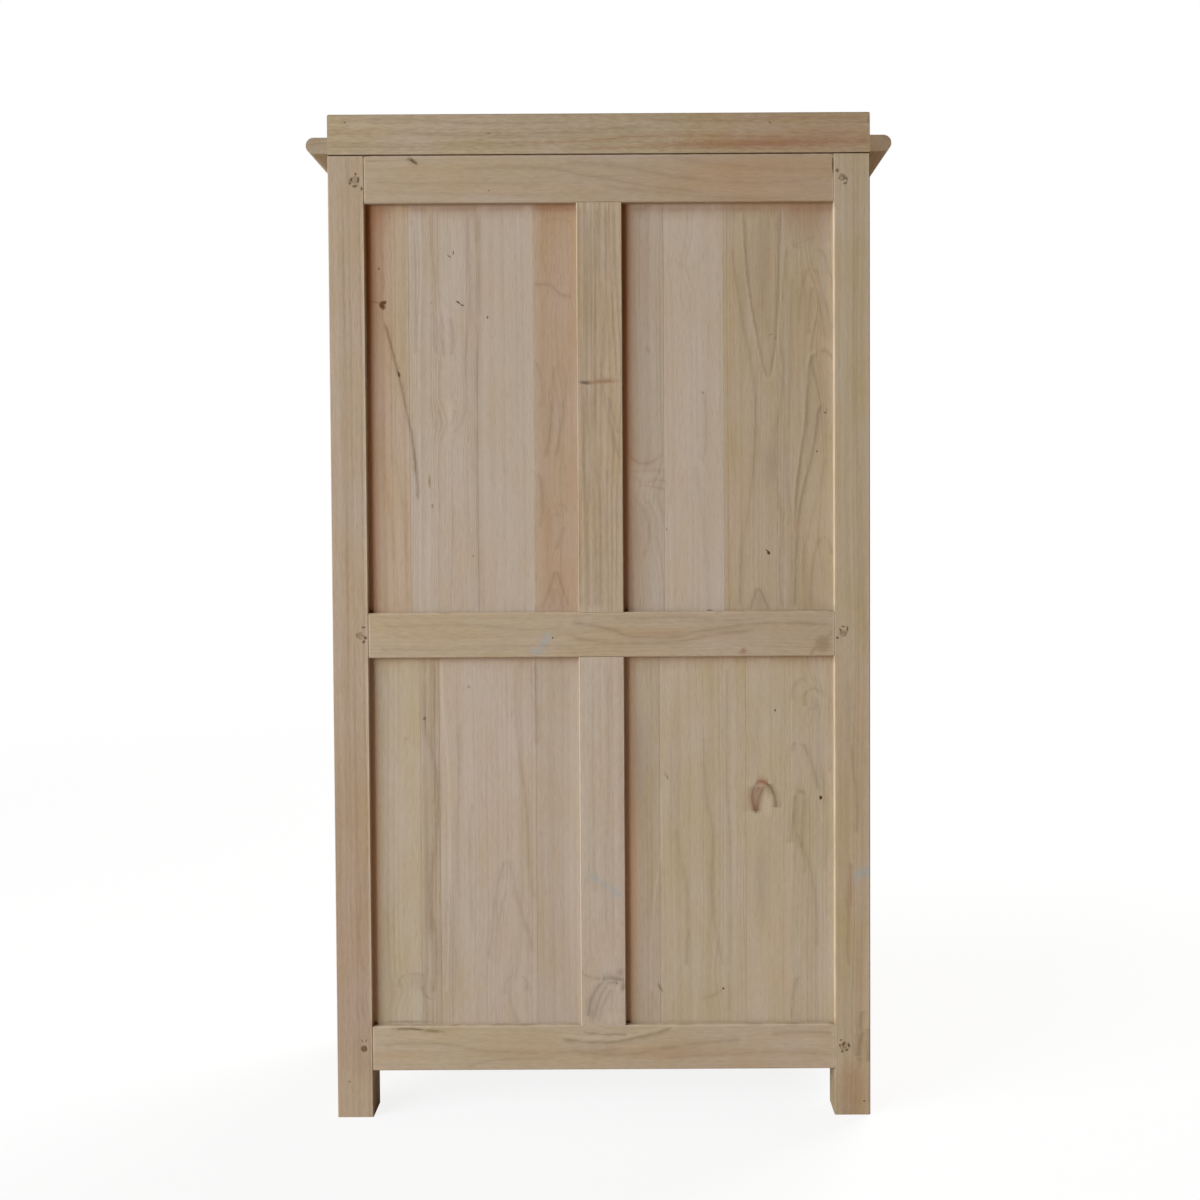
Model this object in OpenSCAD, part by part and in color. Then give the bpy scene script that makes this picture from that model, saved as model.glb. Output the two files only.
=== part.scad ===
// Bar cabinet of frame and panel work: four square posts, pegged rails, floating panels,
// a crown with a half-round moulding, two tall doors and the fittings behind them.
// X runs across the front, the doors face -Y, the panelled back faces +Y, Z is up.
// The origin lies on the floor, in the middle of the outer box.

/* [Overall] */
// Height from the floor to the top of the crown
total_h = 1700; // [1560:10:1850]
// Width over the posts
body_w = 910; // [780:2:1100]
// Depth over the posts
body_d = 414; // [380:2:500]

/* [Frame] */
// Side of the square posts
post_w = 61; // [56:1:70]
// Thickness of the rails and muntins
rail_t = 32; // [30:1:36]
// Height of the middle and bottom rails
rail_w = 76; // [68:1:90]
// Height of the top rails
top_rail_w = 79; // [74:1:96]
// Width of the muntins of the back
muntin_w = 77; // [64:1:90]
// Clear height of the legs under the bottom rails
leg_h = 80; // [60:1:120]
// Height of the lower edge of the middle rails
middle_z = 786; // [740:2:840]
// Eased arris along the posts, rails and muntins
arris = 1.5; // [0.5:0.1:2.5]

/* [Joints] */
// Thickness of the rail tenons
tenon_t = 12; // [9:0.5:13]
// Depth from the outer face to the rail tenons
tenon_in = 10; // [8:0.5:11]
// Length of the rail tenons
tenon_l = 35; // [24:1:38]
// Shoulder above and below the rail tenons
tenon_shoulder = 13; // [12:0.5:16]
// Length of the stub tenons of the muntins
stub_l = 24; // [14:1:28]
// Diameter of the draw-bore pegs
peg_d = 10; // [7:0.5:11]
// Length of the pegs
peg_l = 38; // [30:1:38]
// Distance from the shoulder to the centre of the pegs
peg_in = 15; // [12:0.5:16]
// Clearance on each side of a fitted joint
fit = 0.15; // [0.05:0.01:0.25]
// Depth of the housings that carry the boards
housing = 6; // [3:0.5:7]

/* [Panels] */
// Thickness of the panels
panel_t = 10; // [8:0.5:11]
// Depth from the face of the frame to the panels
panel_recess = 12; // [10:0.5:15]
// Depth of the grooves that hold the panels
groove = 10; // [7:0.5:11]
// Room left in a groove for the panel to move
panel_play = 2; // [1:0.25:3]

/* [Boards] */
// Thickness of the bottom and ceiling boards and of the shelf
board_t = 18; // [14:1:20]
// Thickness of the counter board
counter_t = 24; // [18:1:28]
// Lip that the rails keep above or below the boards in their housings
board_lip = 14; // [12:0.5:18]
// Height of the underside of the shelf above the counter board
shelf_gap = 336; // [300:2:380]
// Gap between the back of the doors and the boards behind them
door_clear = 5; // [3:0.5:8]

/* [Crown] */
// Height of the crown
crown_h = 70; // [60:1:90]
// Thickness of the crown boards
crown_t = 24; // [20:1:28]
// Depth of the lap at the corners of the crown
crown_lap = 12; // [8:1:14]
// Radius of the eased edge on top of the crown
crown_r = 4; // [2:0.5:6]
// Height of the shadow line under the crown
shadow_h = 2.5; // [1:0.5:4]
// Depth of the shadow line under the crown
shadow_d = 9; // [5:0.5:12]
// Height of the half-round moulding
moulding_h = 27; // [22:0.5:32]
// Projection of the moulding beyond the posts
moulding_out = 36; // [28:1:44]
// Height of the moulding above the lower edge of the crown
moulding_up = 4; // [3:0.5:10]
// Height of the stubs on the posts that centre the crown
locator_h = 14; // [8:1:24]

/* [Stemware rails] */
// Number of rails under the ceiling board
stem_count = 6; // [3:1:6]
// Spacing of the rails
stem_pitch = 112; // [104:1:118]
// Slot between two rails, which passes the stem of a glass
stem_slot = 26; // [20:1:32]
// Thickness of the web of a rail
stem_web = 20; // [14:1:24]
// Height of the web, which is the room for the foot of a glass
stem_room = 34; // [28:1:40]
// Thickness of the flange of a rail
stem_flange_t = 10; // [8:0.5:12]
// Radius of the rounded front corners of the flanges
stem_r = 14; // [8:1:18]

/* [Bottle bins] */
// Thickness of the two crossed boards
bin_t = 16; // [12:1:20]
// Gap between the crossed boards and the posts before and behind them
bin_clear = 2; // [1:0.5:4]
// Gap at each end of the crossed boards
bin_end = 1; // [0.5:0.25:3]

/* [Doors] */
// Thickness of the doors
door_t = 26; // [24:1:28]
// Width of the door stiles
stile_w = 58; // [52:1:66]
// Gap round each door
door_gap = 2.5; // [2:0.1:3]
// Gap between the two doors
meeting_gap = 3; // [2.4:0.1:4]
// Depth from the face of the door to its panels
door_recess = 8; // [6:0.5:9]
// Length of the tenons of the door rails
door_tenon_l = 40; // [30:1:44]

/* [Hinges] */
// Height of the hinge leaves
hinge_h = 80; // [60:2:100]
// Thickness of the leaves
leaf_t = 1.6; // [1.4:0.1:1.8]
// Depth of the leaves behind the face of the door
leaf_in = 21; // [16:1:23]
// Gap between the closed leaves
leaf_gap = 0.6; // [0.4:0.1:0.8]
// Radius of the knuckles
knuckle_r = 4; // [3.5:0.1:4.5]
// Radius of the hinge pins
pin_r = 2; // [1.5:0.1:2.2]
// Running clearance round the pins
pin_fit = 0.06; // [0.03:0.01:0.1]
// Gap between two knuckles
knuckle_gap = 0.4; // [0.3:0.1:0.8]
// Distance from the end of the door to the centre of the outer hinges
hinge_inset = 150; // [110:5:200]
// Gap from the knuckles to the face of the door
knuckle_off = 0.4; // [0.3:0.1:0.8]

/* [Knobs] */
// Height of the knobs above the floor
knob_z = 930; // [880:5:1100]
// Largest radius of the knob
knob_r = 17; // [14:0.5:20]
// Projection of the knob
knob_out = 30; // [26:1:33]
// Radius of the spigot that holds the knob
spigot_r = 5; // [4:0.25:6]

/* [Hidden] */

// Facets of a full circle
round_fn = 48;
// Overshoot of a cut past the face it opens
over = 1;

// Places worked out from the sizes above
half_w = body_w / 2;
back_y = (body_d + moulding_out) / 2;
front_y = back_y - body_d;
mid_y = (back_y + front_y) / 2;
inner_x = half_w - post_w;
inner_back_y = back_y - post_w;
inner_front_y = front_y + post_w;
crown_z = total_h - crown_h;
top_rail_z = crown_z - top_rail_w;
bottom_top_z = leg_h + rail_w;
middle_top_z = middle_z + rail_w;
board_bottom_z = bottom_top_z - board_lip - board_t;
board_counter_z = middle_top_z - board_lip - counter_t;
board_ceiling_z = top_rail_z + board_lip;
counter_top_z = board_counter_z + counter_t;
shelf_z = counter_top_z + shelf_gap;
tongue = groove - panel_play;
door_back_y = front_y + door_t;
boards_front_y = door_back_y + door_clear;
rail_inner_x = half_w - rail_t;
rail_inner_back_y = back_y - rail_t;
rail_inner_front_y = front_y + rail_t;

WOOD = [0.70, 0.60, 0.47];
PANEL = [0.72, 0.64, 0.53];
END = [0.58, 0.48, 0.36];
IRON = [0.20, 0.19, 0.18];

// Mirror images across the middle of the body
module other_side() {
  mirror([1, 0, 0]) children();
}

module other_end() {
  translate([0, 2 * mid_y, 0]) mirror([0, 1, 0]) children();
}

// Swaps the back of a corner for its side
module turned_corner() {
  mirror([1, -1, 0]) children();
}

// Rectangle with its corners cut off at 45 degrees
module eased_rectangle(w, d, c) {
  polygon([[c, 0], [w - c, 0], [w, c], [w, d - c], [w - c, d], [c, d], [0, d - c], [0, c]]);
}

// A board with square ends and eased long arrises, running along X from the middle
module eased_bar(length, depth, height) {
  translate([-length / 2, 0, 0])
    rotate([90, 0, 90])
      linear_extrude(length)
        eased_rectangle(depth, height, arris);
}

// Peg hole or peg along Y, centred at x and z, from the outer face inwards
module peg_shape(x, z, r, length) {
  translate([x, 0, z])
    rotate([90, 0, 0])
      cylinder(r = r, h = length, $fn = round_fn);
}

// Rail in its own frame: outer face on y = 0, lower edge on z = 0, shoulders at +-length/2
module rail_blank(length, height) {
  translate([0, -rail_t, 0])
    eased_bar(length, rail_t, height);
  translate([-length / 2 - tenon_l, -tenon_in - tenon_t, tenon_shoulder])
    cube([length + 2 * tenon_l, tenon_t, height - 2 * tenon_shoulder]);
}

module rail_groove(length, height, at_top) {
  translate([-length / 2 - over, -panel_recess - panel_t - fit, at_top ? height - groove : -over])
    cube([length + 2 * over, panel_t + 2 * fit, groove + over]);
}

module rail_housing(length, z, thickness) {
  translate([-length / 2 - over, -rail_t - over, z - fit])
    cube([length + 2 * over, housing + over, thickness + 2 * fit]);
}

module rail_peg_holes(length, height) {
  for (side = [-1, 1])
    translate([0, over, 0])
      peg_shape(side * (length / 2 + peg_in), height / 2, peg_d / 2 + fit / 2, peg_l + fit + over);
}

module stub_mortise(height, at_top) {
  w = muntin_w - 2 * groove;
  translate([-w / 2 - fit, -panel_recess - panel_t - fit, at_top ? height - stub_l - over : -over])
    cube([w + 2 * fit, panel_t + 2 * fit, stub_l + 2 * over]);
}

module frame_rail(length, height, top_groove, bottom_groove, stub_top, stub_bottom, board_z, board_th) {
  difference() {
    rail_blank(length, height);
    rail_peg_holes(length, height);
    if (top_groove) rail_groove(length, height, true);
    if (bottom_groove) rail_groove(length, height, false);
    if (stub_top) stub_mortise(height, true);
    if (stub_bottom) stub_mortise(height, false);
    rail_housing(length, board_z, board_th);
  }
}

back_len = 2 * inner_x;
side_len = body_d - 2 * post_w;

module on_back(z) {
  translate([0, back_y, z]) children();
}

module on_front(z) {
  other_end() on_back(z) children();
}

module on_right(z) {
  translate([half_w, mid_y, z]) rotate([0, 0, -90]) children();
}

module on_left(z) {
  other_side() on_right(z) children();
}

module bottom_rail(length, panelled, stubbed) {
  frame_rail(length, rail_w, panelled, false, stubbed, false, board_bottom_z - leg_h, board_t);
}

module middle_rail(length, stubbed) {
  frame_rail(length, rail_w, true, true, stubbed, stubbed, board_counter_z - middle_z, counter_t);
}

module top_rail(length, panelled, stubbed) {
  frame_rail(length, top_rail_w, false, panelled, false, stubbed, board_ceiling_z - top_rail_z, board_t);
}

module rail_back_top() {
  color(WOOD) on_back(top_rail_z) top_rail(back_len, true, true);
}

module rail_back_middle() {
  color(WOOD) on_back(middle_z) middle_rail(back_len, true);
}

module rail_back_bottom() {
  color(WOOD) on_back(leg_h) bottom_rail(back_len, true, true);
}

module rail_front_top() {
  color(WOOD) on_front(top_rail_z) top_rail(back_len, false, false);
}

module rail_front_bottom() {
  color(WOOD) on_front(leg_h) bottom_rail(back_len, false, false);
}

module rail_right_top() {
  color(WOOD) on_right(top_rail_z) top_rail(side_len, true, false);
}

module rail_right_middle() {
  color(WOOD) on_right(middle_z) middle_rail(side_len, false);
}

module rail_right_bottom() {
  color(WOOD) on_right(leg_h) bottom_rail(side_len, true, false);
}

module rail_left_top() {
  color(WOOD) on_left(top_rail_z) top_rail(side_len, true, false);
}

module rail_left_middle() {
  color(WOOD) on_left(middle_z) middle_rail(side_len, false);
}

module rail_left_bottom() {
  color(WOOD) on_left(leg_h) bottom_rail(side_len, true, false);
}

// Muntin between two rails of the back, with stub tenons that fill the panel grooves
module muntin(z0, z1) {
  w = muntin_w - 2 * groove;
  translate([0, back_y, 0]) {
    difference() {
      translate([-muntin_w / 2, -rail_t, z0])
        linear_extrude(z1 - z0)
          eased_rectangle(muntin_w, rail_t, arris);
      for (side = [-1, 1])
        translate([side * (muntin_w / 2 - groove / 2 + over / 2), -panel_recess - panel_t / 2, (z0 + z1) / 2])
          cube([groove + over, panel_t + 2 * fit, z1 - z0 + 2 * over], center = true);
    }
    translate([-w / 2, -panel_recess - panel_t, z0 - stub_l])
      cube([w, panel_t, z1 - z0 + 2 * stub_l]);
  }
}

module muntin_back_upper() {
  color(WOOD) muntin(middle_top_z, top_rail_z);
}

module muntin_back_lower() {
  color(WOOD) muntin(bottom_top_z, middle_z);
}

// Floating panel in the frame of one face, between x0 and x1 and between z0 and z1 of the opening
module panel(x0, x1, z0, z1) {
  translate([x0 - tongue, -panel_recess - panel_t, z0 - tongue])
    cube([x1 - x0 + 2 * tongue, panel_t, z1 - z0 + 2 * tongue]);
}

module panel_back_upper_right() {
  color(PANEL) on_back(0) panel(muntin_w / 2, inner_x, middle_top_z, top_rail_z);
}

module panel_back_lower_right() {
  color(PANEL) on_back(0) panel(muntin_w / 2, inner_x, bottom_top_z, middle_z);
}

module panel_back_upper_left() {
  other_side() panel_back_upper_right();
}

module panel_back_lower_left() {
  other_side() panel_back_lower_right();
}

module panel_right_upper() {
  color(PANEL) on_right(0) panel(-side_len / 2, side_len / 2, middle_top_z, top_rail_z);
}

module panel_right_lower() {
  color(PANEL) on_right(0) panel(-side_len / 2, side_len / 2, bottom_top_z, middle_z);
}

module panel_left_upper() {
  other_side() panel_right_upper();
}

module panel_left_lower() {
  other_side() panel_right_lower();
}

// Cuts of one rail joint, seen from the outer corner of a post at x = 0, y = 0
module post_mortise(z, height) {
  translate([-post_w - over, -tenon_in - tenon_t - fit, z + tenon_shoulder - fit])
    cube([tenon_l + over + fit, tenon_t + 2 * fit, height - 2 * tenon_shoulder + 2 * fit]);
  translate([0, over, 0])
    peg_shape(-post_w + peg_in, z + height / 2, peg_d / 2 + fit / 2, peg_l + fit + over);
}

module post_groove(z0, z1) {
  translate([-post_w - over, -panel_recess - panel_t - fit, z0 - groove])
    cube([groove + over, panel_t + 2 * fit, z1 - z0 + 2 * groove]);
}

module panelled_face_cuts() {
  post_mortise(leg_h, rail_w);
  post_mortise(middle_z, rail_w);
  post_mortise(top_rail_z, top_rail_w);
  post_groove(bottom_top_z, middle_z);
  post_groove(middle_top_z, top_rail_z);
}

module door_face_cuts() {
  post_mortise(leg_h, rail_w);
  post_mortise(top_rail_z, top_rail_w);
}

// Post in the frame of its outer corner, with the stub that centres the crown
module post_blank() {
  translate([-post_w, -post_w, 0])
    linear_extrude(crown_z)
      eased_rectangle(post_w, post_w, arris);
  stub = post_w - crown_t - fit - 2 * arris;
  translate([-post_w + 2 * arris, -post_w + 2 * arris, crown_z - over])
    cube([stub, stub, locator_h + over]);
}

// Housing of the shelf in the inner face of a post
module shelf_housing(y0, y1) {
  translate([inner_x - over, y0 - fit, shelf_z - fit])
    cube([housing + over, y1 - y0 + 2 * fit, board_t + 2 * fit]);
}

shelf_back_y = rail_inner_back_y - housing / 2;

module post_back() {
  difference() {
    translate([half_w, back_y, 0])
      difference() {
        post_blank();
        panelled_face_cuts();
        turned_corner() panelled_face_cuts();
      }
    shelf_housing(inner_back_y - over, shelf_back_y);
  }
}

module post_front() {
  difference() {
    other_end()
      translate([half_w, back_y, 0])
        difference() {
          post_blank();
          door_face_cuts();
          turned_corner() panelled_face_cuts();
        }
    shelf_housing(boards_front_y, inner_front_y + over);
    for (z = hinge_zs) hinge_recess(inner_x, z);
  }
}

module post_back_right() {
  color(WOOD) post_back();
}

module post_back_left() {
  color(WOOD) other_side() post_back();
}

module post_front_right() {
  color(WOOD) post_front();
}

module post_front_left() {
  color(WOOD) other_side() post_front();
}

// Board let into the housings of the rails and notched round the posts
module housed_board(z, thickness, y_front) {
  wide = 2 * (rail_inner_x + housing - fit);
  y_back = rail_inner_back_y + housing - fit;
  translate([-wide / 2, inner_front_y + fit, z])
    cube([wide, inner_back_y - inner_front_y - 2 * fit, thickness]);
  translate([0, y_front, z])
    eased_bar(2 * (inner_x - fit), y_back - y_front, thickness);
}

module board_bottom() {
  color(WOOD) housed_board(board_bottom_z, board_t, rail_inner_front_y - housing + fit);
}

module board_ceiling() {
  color(WOOD) housed_board(board_ceiling_z, board_t, rail_inner_front_y - housing + fit);
}

module board_counter() {
  color(WOOD) housed_board(board_counter_z, counter_t, boards_front_y);
}

module shelf() {
  color(WOOD)
    translate([0, boards_front_y, shelf_z])
      eased_bar(2 * (inner_x + housing - fit), shelf_back_y - boards_front_y, board_t);
}

// Cutter that rounds an edge on the +x, +z corner of a board, running along Y
module round_cutter(length) {
  rotate([90, 0, 0])
    linear_extrude(length, center = true)
      difference() {
        translate([-crown_r, -crown_r]) square(crown_r + over);
        translate([-crown_r, -crown_r]) circle(r = crown_r, $fn = round_fn);
      }
}

// Long crown board across the back, lapped over the ends of the side boards
module crown_long() {
  difference() {
    translate([-half_w, back_y - crown_t, crown_z])
      cube([body_w, crown_t, crown_h]);
    for (side = [-1, 1]) {
      translate([side * (half_w - crown_t / 2 + over / 2), back_y - crown_t / 2 - crown_lap / 2, crown_z + crown_h / 2])
        cube([crown_t + over + 2 * fit, crown_t - crown_lap + over, crown_h + 2 * over], center = true);
      translate([side * half_w, back_y, crown_z])
        cube([2 * shadow_d, 2 * crown_t + over, 2 * shadow_h], center = true);
    }
    translate([0, back_y, crown_z])
      cube([body_w + over, 2 * shadow_d, 2 * shadow_h], center = true);
    top_panel_rebate();
    translate([half_w, back_y, total_h]) round_cutter(2 * crown_t + over);
    translate([-half_w, back_y, total_h]) mirror([1, 0, 0]) round_cutter(2 * crown_t + over);
    translate([0, back_y, total_h]) rotate([0, 0, 90]) round_cutter(body_w + over);
  }
}

module crown_side() {
  difference() {
    translate([half_w - crown_t, front_y + crown_lap + fit, crown_z])
      cube([crown_t, body_d - 2 * crown_lap - 2 * fit, crown_h]);
    translate([half_w, mid_y, crown_z])
      cube([2 * shadow_d, body_d, 2 * shadow_h], center = true);
    top_panel_rebate();
    translate([half_w, mid_y, total_h]) round_cutter(body_d);
  }
}

// Rebate inside the top of the crown, in which the top panel lies
rebate_in = crown_t / 2;

module top_panel_rebate() {
  w = body_w - 2 * rebate_in;
  d = body_d - 2 * rebate_in;
  translate([-w / 2, mid_y - d / 2, total_h - board_t])
    cube([w, d, board_t + over]);
}

module crown_top_panel() {
  w = body_w - 2 * rebate_in - 2 * fit;
  d = body_d - 2 * rebate_in - 2 * fit;
  color(WOOD)
    translate([-w / 2, mid_y - d / 2, total_h - board_t])
      cube([w, d, board_t]);
}

module crown_back() {
  color(WOOD) crown_long();
}

module crown_front() {
  color(WOOD) other_end() crown_long();
}

module crown_right() {
  color(WOOD) crown_side();
}

module crown_left() {
  color(WOOD) other_side() crown_side();
}

// Profile of the moulding: x outwards from the crown, y up
module moulding_profile() {
  r = moulding_h / 2;
  union() {
    square([moulding_out - r, moulding_h]);
    translate([moulding_out - r, r]) circle(r = r, $fn = 2 * round_fn);
  }
}

moulding_z = crown_z + moulding_up;

// Prism on one side of the mitre at the front right corner
module mitre_side(front) {
  reach = 2 * moulding_out;
  translate([half_w, front_y, moulding_z - over])
    linear_extrude(moulding_h + 2 * over)
      polygon(front
        ? [[0, 0], [reach, -reach], [-body_w - reach, -reach], [-body_w, 0]]
        : [[0, 0], [reach, -reach], [reach, body_d + reach], [0, body_d + reach]]);
}

module moulding_front() {
  color(WOOD)
    intersection() {
      translate([-body_w / 2 - moulding_out, front_y, moulding_z])
        rotate([90, 0, 90])
          linear_extrude(body_w + 2 * moulding_out)
            mirror([1, 0]) moulding_profile();
      mitre_side(true);
    }
}

module moulding_side() {
  intersection() {
    translate([half_w, back_y, moulding_z])
      rotate([90, 0, 0])
        linear_extrude(body_d + moulding_out)
          moulding_profile();
    mitre_side(false);
  }
}

module moulding_right() {
  color(WOOD) moulding_side();
}

module moulding_left() {
  color(WOOD) other_side() moulding_side();
}

// T-shaped rails that hold stemware by the foot
stem_drop = stem_room + stem_flange_t;
stem_len = rail_inner_back_y - boards_front_y - door_clear;

module stem_rail() {
  flange = stem_pitch - stem_slot;
  intersection() {
    rotate([90, 0, 0])
      linear_extrude(stem_len, center = true)
        polygon([[-flange / 2, 0], [flange / 2, 0], [flange / 2, stem_flange_t], [stem_web / 2, stem_flange_t],
          [stem_web / 2, stem_drop], [-stem_web / 2, stem_drop], [-stem_web / 2, stem_flange_t],
          [-flange / 2, stem_flange_t]]);
    translate([0, 0, -over])
      linear_extrude(stem_drop + 2 * over)
        union() {
          translate([-flange / 2, -stem_len / 2 + stem_r]) square([flange, stem_len - stem_r]);
          translate([-flange / 2 + stem_r, -stem_len / 2]) square([flange - 2 * stem_r, stem_len]);
          for (side = [-1, 1])
            translate([side * (flange / 2 - stem_r), -stem_len / 2 + stem_r]) circle(r = stem_r, $fn = round_fn);
        }
  }
}

module stemware_rails() {
  y = (boards_front_y + door_clear + rail_inner_back_y) / 2;
  color(WOOD)
    for (i = [0 : stem_count - 1])
      translate([(i - (stem_count - 1) / 2) * stem_pitch, y, board_ceiling_z - stem_drop])
        stem_rail();
}

// Crossed boards that divide the lower part into four bottle bins
bin_z0 = board_bottom_z + board_t;
bin_z1 = board_counter_z;
bin_w = 2 * (rail_inner_x - bin_end);
bin_angle = atan2(bin_z1 - bin_z0, bin_w);
bin_y0 = inner_front_y + bin_clear;
bin_y1 = inner_back_y - bin_clear;

module bin_outline(sign, extra) {
  intersection() {
    rotate(sign * bin_angle) square([2 * bin_w, bin_t + 2 * extra], center = true);
    square([bin_w, bin_z1 - bin_z0], center = true);
  }
}

module bin_strip(sign, y0, y1, extra) {
  translate([0, y1, (bin_z0 + bin_z1) / 2])
    rotate([90, 0, 0])
      linear_extrude(y1 - y0)
        bin_outline(sign, extra);
}

module bin_board_rising() {
  color(WOOD)
    difference() {
      bin_strip(1, bin_y0, bin_y1, 0);
      bin_strip(-1, bin_y0 - over, mid_y + fit, fit);
    }
}

module bin_board_falling() {
  color(WOOD)
    difference() {
      bin_strip(-1, bin_y0, bin_y1, 0);
      bin_strip(1, mid_y - fit, bin_y1 + over, fit);
    }
}

// Doors: the right one is drawn, the left one is its mirror image
door_x0 = meeting_gap / 2;
door_x1 = inner_x - door_gap;
door_z0 = bottom_top_z + door_gap;
door_z1 = top_rail_z - door_gap;
door_in_x0 = door_x0 + stile_w;
door_in_x1 = door_x1 - stile_w;
door_low_z = door_z0 + rail_w;
door_high_z = door_z1 - rail_w;
hinge_zs = [door_z0 + hinge_inset, (door_z0 + door_z1) / 2, door_z1 - hinge_inset];
panel_y = front_y + door_recess;

// Slot for the panels and tenons in the inner edge of a stile or rail
module door_slot(x0, x1, z0, z1) {
  translate([x0, panel_y - fit, z0])
    cube([x1 - x0, panel_t + 2 * fit, z1 - z0]);
}

module door_stile(x0, inner_x_edge, inward) {
  difference() {
    translate([x0, front_y, door_z0])
      linear_extrude(door_z1 - door_z0)
        eased_rectangle(stile_w, door_t, arris);
    for (z = [[door_low_z - tenon_shoulder, middle_z + tenon_shoulder],
        [middle_top_z - tenon_shoulder, door_high_z + tenon_shoulder]])
      door_slot(min(inner_x_edge - inward * over, inner_x_edge + inward * groove),
        max(inner_x_edge - inward * over, inner_x_edge + inward * groove), z[0], z[1]);
    for (z = [[door_z0, rail_w], [middle_z, rail_w], [door_z1 - rail_w, rail_w]])
      door_slot(min(inner_x_edge - inward * over, inner_x_edge + inward * (door_tenon_l + fit)),
        max(inner_x_edge - inward * over, inner_x_edge + inward * (door_tenon_l + fit)),
        z[0] + tenon_shoulder - fit, z[0] + z[1] - tenon_shoulder + fit);
  }
}

module door_hinge_stile() {
  difference() {
    door_stile(door_in_x1, door_in_x1, 1);
    for (z = hinge_zs) hinge_recess(door_x1, z);
  }
}

module door_meeting_stile() {
  difference() {
    door_stile(door_x0, door_in_x0, -1);
    translate([door_x0 + stile_w / 2, front_y + door_t + over, knob_z])
      rotate([90, 0, 0])
        cylinder(r = spigot_r + fit / 2, h = door_t + 2 * over, $fn = round_fn);
  }
}

module door_rail(z, slot_top, slot_bottom) {
  length = door_in_x1 - door_in_x0;
  mid_x = (door_in_x0 + door_in_x1) / 2;
  difference() {
    union() {
      translate([mid_x, front_y, z])
        eased_bar(length, door_t, rail_w);
      translate([door_in_x0 - door_tenon_l, panel_y, z + tenon_shoulder])
        cube([length + 2 * door_tenon_l, panel_t, rail_w - 2 * tenon_shoulder]);
    }
    if (slot_top) door_slot(door_in_x0 - over, door_in_x1 + over, z + rail_w - groove, z + rail_w + over);
    if (slot_bottom) door_slot(door_in_x0 - over, door_in_x1 + over, z - over, z + groove);
  }
}

module door_panel(z0, z1) {
  translate([door_in_x0 - tongue, panel_y, z0 - tongue])
    cube([door_in_x1 - door_in_x0 + 2 * tongue, panel_t, z1 - z0 + 2 * tongue]);
}

module door_right_hinge_stile() {
  color(WOOD) door_hinge_stile();
}

module door_right_meeting_stile() {
  color(WOOD) door_meeting_stile();
}

module door_right_top_rail() {
  color(WOOD) door_rail(door_z1 - rail_w, false, true);
}

module door_right_middle_rail() {
  color(WOOD) door_rail(middle_z, true, true);
}

module door_right_bottom_rail() {
  color(WOOD) door_rail(door_z0, true, false);
}

module door_right_upper_panel() {
  color(PANEL) door_panel(middle_top_z, door_high_z);
}

module door_right_lower_panel() {
  color(PANEL) door_panel(door_low_z, middle_z);
}

module door_left_hinge_stile() {
  other_side() door_right_hinge_stile();
}

module door_left_meeting_stile() {
  other_side() door_right_meeting_stile();
}

module door_left_top_rail() {
  other_side() door_right_top_rail();
}

module door_left_middle_rail() {
  other_side() door_right_middle_rail();
}

module door_left_bottom_rail() {
  other_side() door_right_bottom_rail();
}

module door_left_upper_panel() {
  other_side() door_right_upper_panel();
}

module door_left_lower_panel() {
  other_side() door_right_lower_panel();
}

// Butt hinges: five knuckles, three on the post and two on the door
axis_x = inner_x - door_gap / 2;
axis_y = front_y - knuckle_r - knuckle_off;
knuckle_count = 5;
knuckle_h = hinge_h / knuckle_count;
leaf_deep = front_y + leaf_in - axis_y;

// Recess for a leaf in the edge at x, round the hinge at height z
module hinge_recess(x, z) {
  depth = leaf_gap / 2 + leaf_t - door_gap / 2;
  translate([x - depth, front_y - over, z - hinge_h / 2 - fit])
    cube([2 * depth, leaf_in + over + fit, hinge_h + 2 * fit]);
}

// Leaf of one hinge about its own axis, side 1 on the post and -1 on the door
module hinge_leaf(side, own) {
  bore = pin_r + pin_fit;
  x0 = side > 0 ? leaf_gap / 2 : -leaf_gap / 2 - leaf_t;
  difference() {
    union() {
      for (i = own)
        translate([0, 0, -hinge_h / 2 + i * knuckle_h + knuckle_gap / 2]) {
          cylinder(r = knuckle_r, h = knuckle_h - knuckle_gap, $fn = round_fn);
          translate([x0, 0, 0]) cube([leaf_t, knuckle_r + 2 * knuckle_off, knuckle_h - knuckle_gap]);
        }
      translate([x0, knuckle_r + knuckle_off, -hinge_h / 2])
        cube([leaf_t, leaf_deep - knuckle_r - knuckle_off, hinge_h]);
    }
    translate([0, 0, -hinge_h / 2 - over])
      cylinder(r = bore, h = hinge_h + 2 * over, $fn = round_fn);
  }
}

// Pin with a low button at each end
module hinge_pin() {
  button_h = 2;
  cylinder(r = pin_r, h = hinge_h + 2 * knuckle_gap, center = true, $fn = round_fn);
  for (end = [0, 1])
    mirror([0, 0, end])
      translate([0, 0, hinge_h / 2 + knuckle_gap / 2])
        rotate_extrude($fn = round_fn)
          difference() {
            square([knuckle_r, button_h]);
            translate([knuckle_r - 1, 1])
              difference() {
                square(2);
                circle(r = 1, $fn = round_fn);
              }
          }
}

module at_hinges() {
  for (z = hinge_zs)
    translate([axis_x, axis_y, z])
      children();
}

module carcass_hinges() {
  at_hinges() {
    hinge_leaf(1, [0, 2, 4]);
    hinge_pin();
  }
}

module hinges_carcass_leaves() {
  color(IRON) {
    carcass_hinges();
    other_side() carcass_hinges();
  }
}

module hinges_right_leaves() {
  color(IRON) at_hinges() hinge_leaf(-1, [1, 3]);
}

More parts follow.
